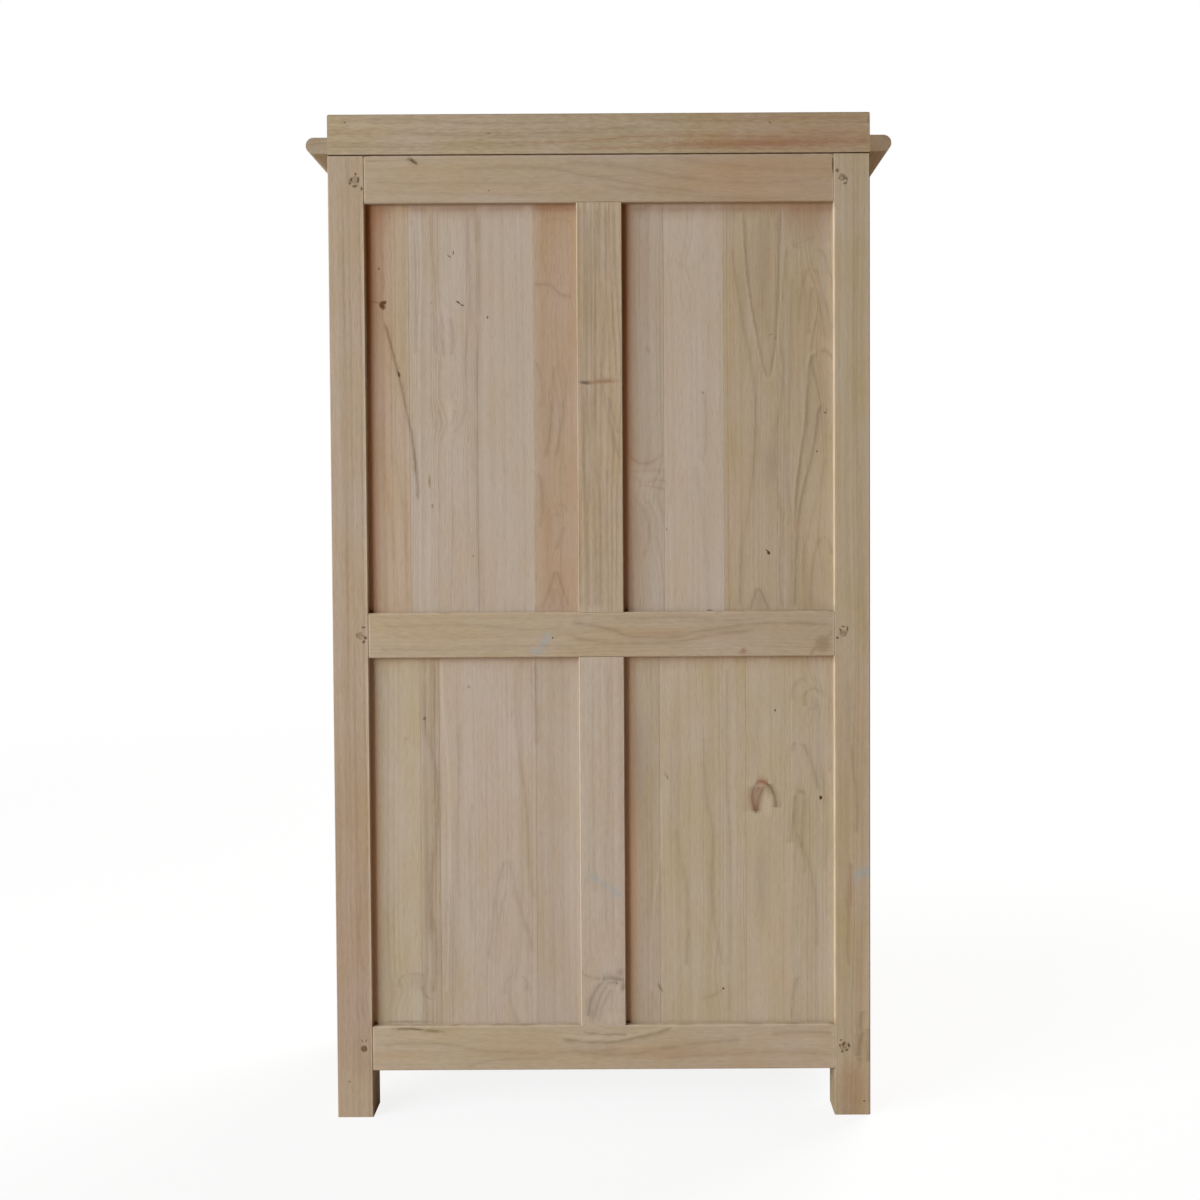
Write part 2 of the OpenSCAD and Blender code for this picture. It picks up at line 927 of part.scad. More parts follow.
module hinges_left_leaves() {
  color(IRON) other_side() at_hinges() hinge_leaf(-1, [1, 3]);
}

// Turned knob: foot, neck and rounded head on a spigot, about the line y outwards
module knob() {
  foot_h = 5;
  foot_r = knob_r * 0.72;
  neck_r = knob_r * 0.45;
  head_h = knob_out - foot_h - 7;
  translate([door_x0 + stile_w / 2, front_y, knob_z])
    rotate([90, 0, 0])
      rotate_extrude($fn = 2 * round_fn)
        union() {
          translate([0, -door_t + over]) square([spigot_r, door_t]);
          square([foot_r, foot_h]);
          square([neck_r, knob_out - head_h / 2]);
          intersection() {
            translate([0, knob_out - head_h / 2])
              scale(head_h / 2)
                circle(r = 1, $fn = 2 * round_fn);
            translate([0, knob_out - head_h]) square([knob_r, head_h]);
          }
          intersection() {
            translate([0, knob_out - head_h]) square([knob_r, head_h]);
            translate([knob_r - head_h / 2, knob_out - head_h / 2])
              circle(r = head_h / 2, $fn = 2 * round_fn);
          }
          translate([0, knob_out - head_h]) square([knob_r - head_h / 2, head_h]);
        }
}

module knob_right() {
  color(WOOD) knob();
}

module knob_left() {
  color(WOOD) other_side() knob();
}

// Pegs that pin the rail tenons, each with its outer end flush with the post
module rail_pegs(length, z, height) {
  for (side = [-1, 1])
    peg_shape(side * (length / 2 + peg_in), z + height / 2, peg_d / 2, peg_l);
}

module side_pegs() {
  rail_pegs(side_len, leg_h, rail_w);
  rail_pegs(side_len, middle_z, rail_w);
  rail_pegs(side_len, top_rail_z, top_rail_w);
}

module pegs() {
  color(END) {
    on_back(0) {
      rail_pegs(back_len, leg_h, rail_w);
      rail_pegs(back_len, middle_z, rail_w);
      rail_pegs(back_len, top_rail_z, top_rail_w);
    }
    on_front(0) {
      rail_pegs(back_len, leg_h, rail_w);
      rail_pegs(back_len, top_rail_z, top_rail_w);
    }
    on_right(0) side_pegs();
    on_left(0) side_pegs();
  }
}

post_back_left();
post_back_right();
post_front_left();
post_front_right();
rail_back_top();
rail_back_middle();
rail_back_bottom();
muntin_back_upper();
muntin_back_lower();
panel_back_upper_left();
panel_back_upper_right();
panel_back_lower_left();
panel_back_lower_right();
rail_left_top();
rail_left_middle();
rail_left_bottom();
panel_left_upper();
panel_left_lower();
rail_right_top();
rail_right_middle();
rail_right_bottom();
panel_right_upper();
panel_right_lower();
rail_front_top();
rail_front_bottom();
board_bottom();
board_counter();
board_ceiling();
crown_back();
crown_front();
crown_left();
crown_right();
crown_top_panel();
moulding_front();
moulding_left();
moulding_right();
shelf();
stemware_rails();
bin_board_rising();
bin_board_falling();
door_left_hinge_stile();
door_left_meeting_stile();
door_left_top_rail();
door_left_middle_rail();
door_left_bottom_rail();
door_left_upper_panel();
door_left_lower_panel();
door_right_hinge_stile();
door_right_meeting_stile();
door_right_top_rail();
door_right_middle_rail();
door_right_bottom_rail();
door_right_upper_panel();
door_right_lower_panel();
hinges_carcass_leaves();
hinges_left_leaves();
hinges_right_leaves();
knob_left();
knob_right();
pegs();
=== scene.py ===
import math
import random

import bmesh
import bpy
from mathutils import Matrix, Vector


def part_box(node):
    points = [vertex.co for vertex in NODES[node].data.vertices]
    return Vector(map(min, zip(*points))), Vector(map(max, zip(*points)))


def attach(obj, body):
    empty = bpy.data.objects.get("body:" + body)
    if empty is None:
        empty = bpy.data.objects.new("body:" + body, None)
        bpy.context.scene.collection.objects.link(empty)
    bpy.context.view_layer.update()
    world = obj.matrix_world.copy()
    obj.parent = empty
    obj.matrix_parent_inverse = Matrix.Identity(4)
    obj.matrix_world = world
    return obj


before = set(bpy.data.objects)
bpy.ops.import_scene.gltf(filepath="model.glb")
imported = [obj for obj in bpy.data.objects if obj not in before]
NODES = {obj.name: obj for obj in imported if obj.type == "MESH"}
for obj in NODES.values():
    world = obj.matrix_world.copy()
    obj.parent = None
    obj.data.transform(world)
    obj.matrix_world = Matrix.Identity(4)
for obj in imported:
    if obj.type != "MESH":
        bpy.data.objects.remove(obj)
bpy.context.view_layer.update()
MM = 0.001

# The picture and the camera that took it
PICTURE_PX = 1200.0
SENSOR_MM = 36.0
FOCAL_PX = 1366.6
CENTRE_PX = (634.6, 561.05)
CAMERA_AT = Vector((-0.0575, 2.5339, 1.0103))
CAMERA_PITCH = 1.54
CAMERA_YAW = 0.016
CAMERA_ROLL = -0.303
CLIP_NEAR = 0.05
CLIP_FAR = 100.0

# Mean colours of the kinds of wood, as red, green and blue of 255
TONES = {
    "tan": (167, 148, 124), "olive": (163, 145, 119), "brown": (154, 133, 106), "grey": (174, 158, 141),
    "pink": (171, 150, 128), "red": (167, 142, 120), "straw": (173, 157, 134), "dull": (164, 148, 128),
}
PALE_GAIN = 1.17
DARK_GAIN = (0.60, 0.53, 0.46)
# Colours of marks. The lightest one is painted highlight on arrises and ledges, and painted light in shaded
# creases.
MARK_COLOURS = {
    "dark": (58, 42, 30), "bark": (80, 58, 42), "brown": (112, 86, 62), "red": (140, 94, 68),
    "rust": (136, 80, 46), "olive": (118, 102, 70), "grey": (134, 120, 106), "blue": (134, 160, 172),
    # pale is partly painted light in the shade by recess edges; shade is painted shade in the recesses, and a
    # tone on posts, top rail and crown
    "pale": (196, 180, 156), "end": (112, 92, 68), "shade": (156, 88, 0), "painted_highlight": (226, 206, 182),
    # glow is painted warm light in the shade by recess edges, and a warm tint on the top rail
    "ash": (122, 112, 104), "glow": (213, 163, 128),
}
FLAT_COLOURS = ("blue", "pale", "shade", "painted_highlight", "glow")
WHITE = (1.0, 1.0, 1.0, 1.0)

# How lines end, in millimetres and as a share of their length, and how much of one is its dark core
LINE_FADE = 12
LINE_FADE_SHARE = 0.07
LINE_CORE = 0.52
HALO_WIDTH = 3.0
MARK_END = 1.15
# Shade under the top edge of a recess, and how far under it the shade at the left edge weakens
TOP_SHADE_WIDE = 12
TOP_SHADE = 0.25
SIDE_SHADE_FADE = (350, 130)
# Glue lines between staves, and end grain
JOINT_LINE = (0.0001, 0.0009)
JOINT_SHOWS = 0.25
JOINT_DEPTH = 0.8
MARK_DEPTH = 0.6
END_SHOWS = 0.3
WOOD_ROUGH = 0.72
# How strong and how deep bumps are, in metres
WOOD_BUMP = (0.35, 0.0006)
PEG_BUMP = (0.6, 0.0006)
METAL_BUMP = (0.3, 0.0003)


def linear(value):
    """Linear light of one channel given of 255."""
    value = value / 255.0
    return value / 12.92 if value <= 0.04045 else ((value + 0.055) / 1.055) ** 2.4


def paint(rgb, gain=(1.0, 1.0, 1.0)):
    """Linear colour with its alpha."""
    return tuple(linear(c) * g for c, g in zip(rgb, gain)) + (1.0,)


class Wire:
    """One output in a node tree. Sums and products of wires make the nodes that work them out."""

    def __init__(self, net, socket):
        self.net = net
        self.socket = socket

    def __add__(self, other):
        return self.net.math("ADD", self, other)

    def __sub__(self, other):
        return self.net.math("SUBTRACT", self, other)

    def __rsub__(self, other):
        return self.net.math("SUBTRACT", other, self)

    def __mul__(self, other):
        return self.net.math("MULTIPLY", self, other)

    def __truediv__(self, other):
        return self.net.math("DIVIDE", self, other)

    __radd__ = __add__
    __rmul__ = __mul__


class Net:
    """Short calls that build a node tree."""

    def __init__(self, tree):
        self.tree = tree

    def node(self, kind, values=None, **settings):
        made = self.tree.nodes.new("ShaderNode" + kind)
        for name, value in settings.items():
            setattr(made, name, value)
        for name, value in (values or {}).items():
            self.put(made.inputs[name], value)
        return made

    def put(self, socket, value):
        if isinstance(value, Wire):
            self.tree.links.new(value.socket, socket)
        else:
            socket.default_value = value

    def wire(self, kind, values=None, output=0, **settings):
        """One output of a new node."""
        return Wire(self, self.node(kind, values, **settings).outputs[output])

    def math(self, operation, *values):
        return self.wire("Math", dict(enumerate(values)), operation=operation)

    def clamp(self, value):
        """The value kept between 0 and 1."""
        return self.wire("Clamp", {"Value": value})

    def noise(self, x, y, z, detail=1.0, rough=0.5):
        """Smooth noise about zero. Its sizes are in the three numbers."""
        point = self.wire("CombineXYZ", {"X": x, "Y": y, "Z": z})
        values = {"Vector": point, "Scale": 1.0, "Detail": detail, "Roughness": rough}
        return self.wire("TexNoise", values) - 0.5

    def line_noise(self, value, detail=0.0):
        """Smooth noise about zero along one number."""
        values = {"W": value, "Scale": 1.0, "Detail": detail}
        return self.wire("TexNoise", values, noise_dimensions="1D") - 0.5

    def ramp(self, values):
        """A smooth change from one value to another."""
        return self.wire("MapRange", values, interpolation_type="SMOOTHSTEP", clamp=False)

    def step(self, value, low, high):
        """0 below low, 1 above high and smooth between them."""
        return self.ramp({"Value": value, "From Min": low, "From Max": high})

    def mix(self, share, first, second):
        return self.wire("Mix", {0: share, 6: first, 7: second}, 2, data_type="RGBA")

    def along(self, point, axis):
        return self.wire("VectorMath", {0: point, 1: axis}, 1, operation="DOT_PRODUCT")

    def length(self, point):
        return self.wire("VectorMath", {0: point}, 1, operation="LENGTH")

    def surface(self, bump, height, **values):
        """Ends a material. bump is how strong and how deep its bumps are. Names have _ for a space."""
        strength, depth = bump
        normal = self.wire("Bump", {"Strength": strength, "Distance": depth, "Height": height})
        values = {name.replace("_", " "): value for name, value in values.items()}
        self.node("OutputMaterial", {0: self.wire("BsdfPrincipled", {**values, "Normal": normal})})

    def blot(self, point, place, ragged):
        """Distance from an oval's centre in half sizes. place is centre, half width, half length and turn."""
        centre_u, centre_v, half_u, half_v, turn = place
        values = {"Vector": point, "Location": (centre_u, centre_v, 0.0),
                  "Rotation": (0.0, 0.0, math.radians(turn)), "Scale": (half_u, half_v, 1.0)}
        return self.length(self.wire("Mapping", values, vector_type="TEXTURE")) + ragged

    def stroke(self, u, v, points, half, strength):
        """How strongly a curve through the points shows. The points go one way in u or in v."""
        wide = abs(points[-1][0] - points[0][0]) > abs(points[-1][1] - points[0][1])
        if wide:
            u, v = v, u
            points = [(b, a) for a, b in points]
        points = sorted(points, key=lambda p: p[1])
        low, high = points[0][1], points[-1][1]
        left = min(p[0] for p in points)
        span = max(max(p[0] for p in points) - left, 0.0001)
        share = self.clamp((v - low) / (high - low))
        curve = self.node("FloatCurve", {"Value": share})
        dots = curve.mapping.curves[0].points
        places = [((b - low) / (high - low), (a - left) / span) for a, b in points]
        dots[0].location, dots[1].location = places[0], places[-1]
        for place in places[1:-1]:
            dots.new(*place)
        curve.mapping.update()
        away = u - self.math("MULTIPLY_ADD", Wire(self, curve.outputs[0]), span, left)
        fade = min(LINE_FADE_SHARE, LINE_FADE * MM / (high - low))
        values = {"Away": away, "Share": share, "Half": half, "Strength": strength, "Fade": fade}
        return self.wire("Group", values, node_tree=LINE)


def new_group(name, inputs, outputs):
    """The net of a new node group, its inputs as wires and the node that its outputs end in."""
    tree = bpy.data.node_groups.new(name, "ShaderNodeTree")
    for side, kinds in (("INPUT", inputs), ("OUTPUT", outputs)):
        for key, kind in kinds.items():
            tree.interface.new_socket(key, in_out=side, socket_type="NodeSocket" + kind)
    net = Net(tree)
    given = tree.nodes.new("NodeGroupInput")
    return net, {key: Wire(net, given.outputs[key]) for key in inputs}, tree.nodes.new("NodeGroupOutput")


def line_tree():
    """The soft profile across a line, dark in the middle, that fades at both ends."""
    inputs = dict.fromkeys(("Away", "Share", "Half", "Strength", "Fade"), "Float")
    net, get, leave = new_group("line", inputs, {"Mask": "Float"})
    away = net.math("ABSOLUTE", get["Away"])
    core = 1.0 - net.step(away, 0.0, get["Half"])
    halo = 1.0 - net.step(away, 0.0, get["Half"] * HALO_WIDTH)
    fade = net.step(net.math("PINGPONG", get["Share"], 0.5), 0.0, get["Fade"])
    net.put(leave.inputs["Mask"], (core * LINE_CORE + halo * (1.0 - LINE_CORE)) * fade * get["Strength"])
    return net.tree


def timber_tree():
    """A solid piece of wood: growth rings about a pith, waved, with streaks, fibres and pores."""
    numbers = ("Across", "Along", "Deep", "Pith across", "Pith deep", "Lean", "Spacing", "Contrast", "Wave",
               "Streak", "Mottle", "Dash", "Seed", "Bulge")
    inputs = {**dict.fromkeys(numbers, "Float"), "Pale": "Color", "Dark": "Color"}
    net, get, leave = new_group("timber", inputs, {"Colour": "Color", "Height": "Float"})
    u, v, w = get["Across"], get["Along"], get["Deep"]
    shift = get["Seed"] * 3.17
    bend = net.noise(u * 3.0 + shift, v * 1.2, w * 3.0)
    wander = net.noise(u * 12.0, v * 4.5 + shift, w * 12.0)
    ripple = net.noise(u * 60.0 + shift, v * 22.0, w * 60.0)
    grain = u + get["Wave"] * (bend * 2.6 + wander * 0.9 + ripple * 0.22)
    from_pith = grain - get["Pith across"]
    from_heart = w - get["Pith deep"] - get["Lean"] * v
    radius = net.math("SQRT", from_pith * from_pith + from_heart * from_heart) + get["Bulge"]
    turns = radius / get["Spacing"]
    turns = turns + net.line_noise(turns * 0.35 + shift) * 2.0
    ring = net.math("FLOOR", turns)
    year = net.math("FRACT", turns)
    strength = net.clamp(net.line_noise(ring * 5.3 + shift, 1.0) * 3.0 + 0.6)
    patchy = net.clamp(net.noise(ring * 3.7, v * 4.0 + shift, w * 4.0) * 2.4 + 0.75)
    late = net.step(year, 0.25, 0.88) * (1.0 - net.step(year, 0.9, 1.0)) * strength * patchy * 1.5
    streak = net.noise(grain * 55.0 + shift, v * 0.9, w * 55.0, 2.0)
    thread = net.noise(grain * 230.0, v * 4.5 + shift, w * 230.0, 2.0)
    fibre = net.noise(grain * 700.0, v * 26.0 + shift, w * 700.0, 2.0, 0.6)
    pore = net.step(net.noise(grain * 1500.0 + shift, v * 60.0, w * 1500.0, 0.0), 0.16, 0.28)
    dash = net.noise(grain * 330.0 + shift, v * 62.0, w * 330.0, 1.0)
    cloud = net.noise(u * 8.0, v * 2.6 + shift, w * 8.0, 2.0)
    blush = net.noise(u * 20.0 + shift, v * 7.0, w * 20.0, 2.0)
    dark = late * get["Contrast"] + (streak * 1.5 + thread * 1.3) * get["Streak"]
    dark = dark + fibre * 0.24 + pore * 0.15 + dash * get["Dash"]
    dark = dark + (cloud * 0.5 + blush * 0.6) * get["Mottle"] + 0.15
    colour = net.mix(net.clamp(dark), get["Pale"], get["Dark"])
    flush = net.wire("HueSaturation", {
        "Hue": (cloud * 0.06 + blush * 0.07) * get["Mottle"] + 0.5,
        "Saturation": streak * 0.3 + blush * 0.5 + 1.0,
        "Value": 1.0, "Fac": 1.0, "Color": colour,
    })
    net.put(leave.inputs["Colour"], flush)
    net.put(leave.inputs["Height"], fibre * 0.5 - pore * 0.6 - late * 0.3 + thread * 0.4)
    return net.tree


LINE = line_tree()
TIMBER = timber_tree()
AXES = {"x": (1.0, 0.0, 0.0), "y": (0.0, 1.0, 0.0), "z": (0.0, 0.0, 1.0)}
# How the grain lies: across, along and through
UPRIGHT = "xzy"
LEVEL = "zxy"
SIDE_UPRIGHT = "yzx"
SIDE_LEVEL = "zyx"
SHELF_LIKE = "yxz"
TURNED = "xyz"


def blank(data):
    """The net of the emptied node tree of a material or a world."""
    data.use_nodes = True
    data.node_tree.nodes.clear()
    return Net(data.node_tree)


def stave(tone, seed, shade=1.0, pith=0, deep=60, lean=0.0, spacing=8, contrast=0.3, wave=6, streak=0.2,
          mottle=0.3, dash=0.3):
    """What one stave or board is cut from, in millimetres."""
    return {
        "Pale": paint(TONES[tone], (PALE_GAIN * shade,) * 3),
        "Dark": paint(TONES[tone], [g * shade for g in DARK_GAIN]),
        "Pith across": pith * MM,
        "Pith deep": deep * MM,
        "Lean": lean,
        "Spacing": spacing * MM,
        "Contrast": contrast,
        "Wave": wave * MM,
        "Streak": streak,
        "Mottle": mottle,
        "Dash": dash,
        "Seed": seed,
    }


def choose_stave(net, u, staves, edges):
    """The values of the stave that u falls in, and the lines between staves."""
    chosen = dict(staves[0])
    joint = None
    for edge, before, after in zip(edges, staves, staves[1:]):
        past = net.math("GREATER_THAN", u, edge * MM)
        for key in chosen:
            if key in ("Pale", "Dark"):
                chosen[key] = net.mix(past, chosen[key], after[key])
            elif before[key] != after[key]:
                chosen[key] = net.math("MULTIPLY_ADD", past, after[key] - before[key], chosen[key])
        line = 1.0 - net.step(net.math("ABSOLUTE", u - edge * MM), *JOINT_LINE)
        joint = line if joint is None else joint + line
    return chosen, joint


def metres(flip, x, z, half_x, half_z, turn=0):
    """An oval's place in metres. flip is -1 on the back, where left and right change places."""
    return flip * x * MM, z * MM, half_x * MM, half_z * MM, turn


def recess_shade(net, h, t, left, top, wide, strength, low_share):
    """Warm shade in a recess: along the left edge as seen, weaker low down, and along the top."""
    high_up = net.step(t, (top - SIDE_SHADE_FADE[0]) * MM, (top - SIDE_SHADE_FADE[1]) * MM)
    strength = high_up * (strength - strength * low_share) + strength * low_share
    side = net.math("EXPONENT", net.math("ABSOLUTE", h + left * MM) * (-1.0 / (wide * MM)))
    upper = net.math("EXPONENT", net.math("ABSOLUTE", t - top * MM) * (-1.0 / (TOP_SHADE_WIDE * MM)))
    return net.math("MAXIMUM", side * strength, upper * TOP_SHADE)


def add_mask(net, masks, hue, mask):
    """Where a colour has a mask already, the stronger one shows."""
    masks[hue] = net.math("MAXIMUM", masks[hue], mask) if hue in masks else mask


def add_strokes(net, masks, h, t, w, strokes, flip):
    """Masks of lines, jagged and patchy. A painted highlight along an arris is nearly straight."""
    jitter = net.noise(h * 70.0, t * 70.0, w * 70.0) * 0.003
    jitter = jitter + net.noise(h * 420.0, t * 120.0, w * 420.0) * 0.002
    patchy = net.clamp(net.noise(h * 40.0, t * 16.0, w * 40.0) * 1.8 + 0.85)
    jagged = (h + jitter, t + jitter)
    straight = (h + jitter * 0.1, t + jitter * 0.1)
    for hue, rows in strokes.items():
        for half, strength, *numbers in rows:
            points = [(flip * x * MM, z * MM) for x, z in zip(numbers[::2], numbers[1::2])]
            path = straight if hue == "painted_highlight" else jagged
            add_mask(net, masks, hue, net.stroke(*path, points, half * MM, strength / 100))
        masks[hue] = masks[hue] * patchy


def add_marks(net, masks, h, t, w, seen, marks, flip):
    """Masks of ovals with ragged edges."""
    ragged = net.noise(h * 420.0, t * 420.0, w * 420.0) * 0.8
    for hue, rows in marks.items():
        for strength, sharp, *place in rows:
            values = {"Value": net.blot(seen, metres(flip, *place), ragged), "From Min": sharp / 100,
                      "From Max": MARK_END, "To Min": strength / 100, "To Max": 0.0}
            add_mask(net, masks, hue, net.ramp(values))


def board(node, lie, staves, edges=(), swells=(), marks=None, strokes=None, back=False, recess=None):
    """Makes a CAD node's wood. lie names the axes across, along and through it, or gives their vectors.

    staves are in the order of growing distance across, and edges are where they meet. Where back is true, the
    places below are x and z and a turn is as seen from behind. Otherwise they are across and along.
    All lengths are in millimetres. How strong and how sharp a mark is, is in percent.
    A swell is an oval where the rings bulge: height, centre, half width, half length and any turn.
    Marks are ovals, by colour: strength, sharpness, centre, half width, half length and any turn.
    Strokes are lines, by colour: half width, strength and the places of their points.
    recess is the left and top edge of a recess, how wide and how strong its shade is, and its share low down.
    """
    material = bpy.data.materials.new(f"wood_{node}")
    net = blank(material)
    where = net.node("TexCoord")
    axes = [AXES[a] if isinstance(a, str) else a for a in lie]
    point = Wire(net, where.outputs["Object"])
    u, v, w = [net.along(point, a) for a in axes]
    end = net.step(net.math("ABSOLUTE", net.along(Wire(net, where.outputs["Normal"]), axes[1])), 0.55, 0.95)
    flip = -1.0 if back else 1.0
    h, t = (net.along(point, (-1.0, 0.0, 0.0)), net.along(point, AXES["z"])) if back else (u, v)
    seen = net.wire("CombineXYZ", {"X": h, "Y": t, "Z": 0.0})
    chosen, joint = choose_stave(net, u, staves, edges)
    bulge = 0.0
    for height, *place in swells:
        away = net.blot(seen, metres(flip, *place), 0.0)
        bulge = net.math("EXPONENT", away * away * -1.0) * (height * MM) + bulge
    values = {**chosen, "Across": u, "Along": v, "Deep": w, "Bulge": bulge}
    wood = net.node("Group", values, node_tree=TIMBER)
    colour, height = (Wire(net, socket) for socket in wood.outputs)
    if joint is not None:
        colour = net.mix(joint * JOINT_SHOWS, colour, paint(MARK_COLOURS["brown"]))
        height = height - joint * JOINT_DEPTH
    masks = {}
    if strokes:
        add_strokes(net, masks, h, t, w, strokes, flip)
    if marks:
        add_marks(net, masks, h, t, w, seen, marks, flip)
    if recess:
        masks["shade"] = recess_shade(net, h, t, *recess)
    for hue, mask in masks.items():
        colour = net.mix(mask, colour, paint(MARK_COLOURS[hue]))
        if hue not in FLAT_COLOURS:
            height = height - mask * MARK_DEPTH
    colour = net.mix(end * END_SHOWS, colour, paint(MARK_COLOURS["end"]))
    rough = height * -0.12 + WOOD_ROUGH
    net.surface(WOOD_BUMP, height, Base_Color=colour, Roughness=rough, Specular_IOR_Level=0.25)
    dress(node, material)


def dress(node, material):
    """Gives a CAD node its material."""
    for slot in NODES[node].material_slots:
        slot.material = material


def joined(*groups):
    """Rows by colour, from several groups in turn."""
    rows = {}
    for group in groups:
        for hue, more in group.items():
            rows[hue] = rows.get(hue, []) + more
    return rows


def painted_highlight_lines(x, spans, half, strength):
    """Painted highlights along an upright line."""
    return [(half, strength, x, low, x, high) for low, high in spans]


# Edges of the recesses of the back panels: left and right as seen from behind, low and high
RIGHT_SPAN = (394, 38.5)
LEFT_SPAN = (-38.5, -394)
UPPER_SPAN = (862, 1551)
LOWER_SPAN = (156, 786)
RAIL_SPANS = {"bottom": (80, 156), "middle": (786, 862), "top": (1551, 1630)}
# Where the shoulders of the rails meet the posts, seen on a post and on a rail
POST_JOINT_X = 394.6
RAIL_JOINT_X = 393.4


def back_panel(name, staves, edges, swells, marks, strokes, across, upright, painted_top_shade, shade):
    """A back panel. Its recess has painted shadow in the lower left corner, a darker line along the low edge,
    and painted shade under the top edge.

    The next to last argument is half the width and the strength of the painted shade under the top edge.
    shade is how wide and how strong the painted shade in the recess is, and its share low down.
    """
    left, right = across
    low, high = upright
    half, strength = painted_top_shade
    # painted shadow in the lower left corner of the recess
    marks = joined({"dark": [(95, 40, left - 2, low + 2, 6, 3.8)]}, marks)
    # a darker line along the low edge, and painted shade under the top edge
    strokes = joined({"brown": [
        (1.4, 16, left, low + 1.5, right, low + 1.5),
        (half, strength, left + 12, high - half, right - 12, high - half),
    ]}, strokes)
    board(f"panel_back_{name}", UPRIGHT, staves, edges, swells, marks, strokes, True, (left, high, *shade))


UPPER_RIGHT_MARKS = {"dark": [(70, 50, 372.9, 1444.3, 1.8, 2.6), (95, 50, 367.5, 1382, 5.2, 8, 20),
     (95, 50, 365, 1386.5, 6, 4.4, 20), (85, 50, 340.5, 1266, 2.4, 6, 14),
     (75, 40, 253.7, 1464.4, 4.2, 1.3, -28), (70, 40, 246.4, 1470, 1.4, 4.2),
     (85, 50, 239, 1387, 4.6, 1.8, -35), (85, 50, 232, 1382, 3.8, 1.5, -20),
     (80, 50, 189.6, 1361.5, 1.6, 2.6), (60, 40, 217.4, 957.9, 1.4, 2.2)],
    "olive": [(60, 20, 290, 1085.7, 3, 15)],
    "brown": [(60, 40, 285.8, 1043.2, 2, 4), (40, 20, 284, 1387, 2.2, 2.2)],
    "pale": [(22, 0, 255, 1200, 12, 30), (17, 45, 366, 965, 32, 220)],
    # the red ovals are painted shade under the top edge, the one at the left in the top corner
    "red": [(32, 0, 372, 1535, 34, 44), (35, 0, 75, 1548, 40, 16)],
    # the glow oval is painted warm light in the shade along the left edge
    "glow": [(50, 20, 392, 1080, 13, 280)]}
UPPER_RIGHT_STROKES = {
     "brown": [(2.3, 70, 365, 1357, 353, 1314, 341, 1266, 328, 1207, 318, 1151, 311, 1089, 310, 1050),
     (2.5, 70, 333, 1230, 326, 1196, 318, 1151, 312, 1089),
     (4.2, 17, 374, 1148, 361, 1061, 351, 970, 348, 868), (2.9, 28, 320, 1533, 311, 1455, 312, 1297),
     (2.9, 23, 285, 1544, 284, 1482, 278, 1421, 280, 1370, 276, 1297),
     (3, 24, 220, 1549, 221, 1482, 219, 1381, 227, 1297, 225, 1207),
     (4.7, 28, 206, 1545, 204, 1398, 208, 1252, 209, 1116, 208, 1003, 208, 863),
     (3, 20, 265, 1364, 269, 1342, 267, 1320, 262, 1296),
     (3, 24, 257, 1363, 250, 1348, 248, 1325, 255, 1296),
     (3, 20, 287, 1230, 284, 1196, 277, 1173, 269, 1165),
     (3, 20, 225, 1229, 231, 1195, 243, 1173, 255, 1165), (2.6, 20, 275, 1207, 272, 1190, 265, 1179),
     (2.6, 20, 247, 1207, 249, 1190, 257, 1179),
     (3.2, 34, 111, 1415, 98, 1417, 84, 1415, 73, 1407, 64, 1399, 44, 1397),
     (3.2, 17, 103, 1510, 89, 1525, 66, 1526, 44, 1518),
     (3.4, 28, 68, 1284, 75, 1276, 79, 1262, 81, 1217, 86, 1161, 94, 1121),
     (3.2, 23, 68, 1284, 62, 1276, 58, 1251, 62, 1206, 69, 1161, 77, 1121),
     (3.2, 28, 110, 1291, 102, 1268, 98, 1240, 99, 1206),
     (3.4, 28, 109, 1099, 100, 1076, 99, 1042, 105, 1003), (3.2, 23, 87, 1011, 78, 1028, 68, 1025, 63, 1008),
     (3.2, 23, 63, 1008, 69, 985, 78, 968), (3.2, 19, 92, 1003, 85, 1036, 69, 1045, 55, 1031),
     (3.4, 31, 77, 933, 86, 909, 95, 883, 102, 866), (3.4, 31, 77, 933, 68, 909, 60, 886, 55, 871),
     (3, 20, 76, 903, 84, 883, 90, 866), (3, 20, 76, 903, 69, 883, 65, 866)],
    "dark": [(1.7, 47, 394, 1392, 383, 1389, 369, 1385)],
    "olive": [(3.8, 16, 352, 1140, 338, 1060, 331, 970, 328, 868)],
    "pale": [(1.3, 50, 113, 1545, 112.6, 1300, 113, 1100, 112.6, 868)]}


def upper_right_panel():
    """The panel at the upper left of the picture."""
    staves = [
        stave("red", 3, 1.0, -260, spacing=9, contrast=0.15, wave=9, streak=0.12, mottle=0.35, dash=0.2),
        stave("grey", 8, 0.975, 520, spacing=14, contrast=0.08, wave=4, streak=0.08, mottle=0.2, dash=0.12),
        stave("grey", 15, 0.965, -60, deep=40, spacing=5.5, contrast=0.22, wave=7, streak=0.16, dash=0.2),
        stave("pink", 21, 0.99, 700, spacing=10, contrast=0.16, wave=8, streak=0.14, mottle=0.5),
    ]
    swells = [
        (9, 262, 1330, 13, 70), (13, 255, 1185, 22, 34), (5, 300, 1440, 12, 90), (6, 240, 1010, 18, 90),
        (14, 74, 1010, 14, 42), (13, 66, 1190, 15, 95), (12, 80, 1420, 26, 26), (15, 76, 865, 15, 60),
    ]
    back_panel("upper_right", staves, (112.3, 207.3, 322.6), swells, UPPER_RIGHT_MARKS, UPPER_RIGHT_STROKES,
               RIGHT_SPAN, UPPER_SPAN, (7.5, 46), (19, 0.96, 0.55))


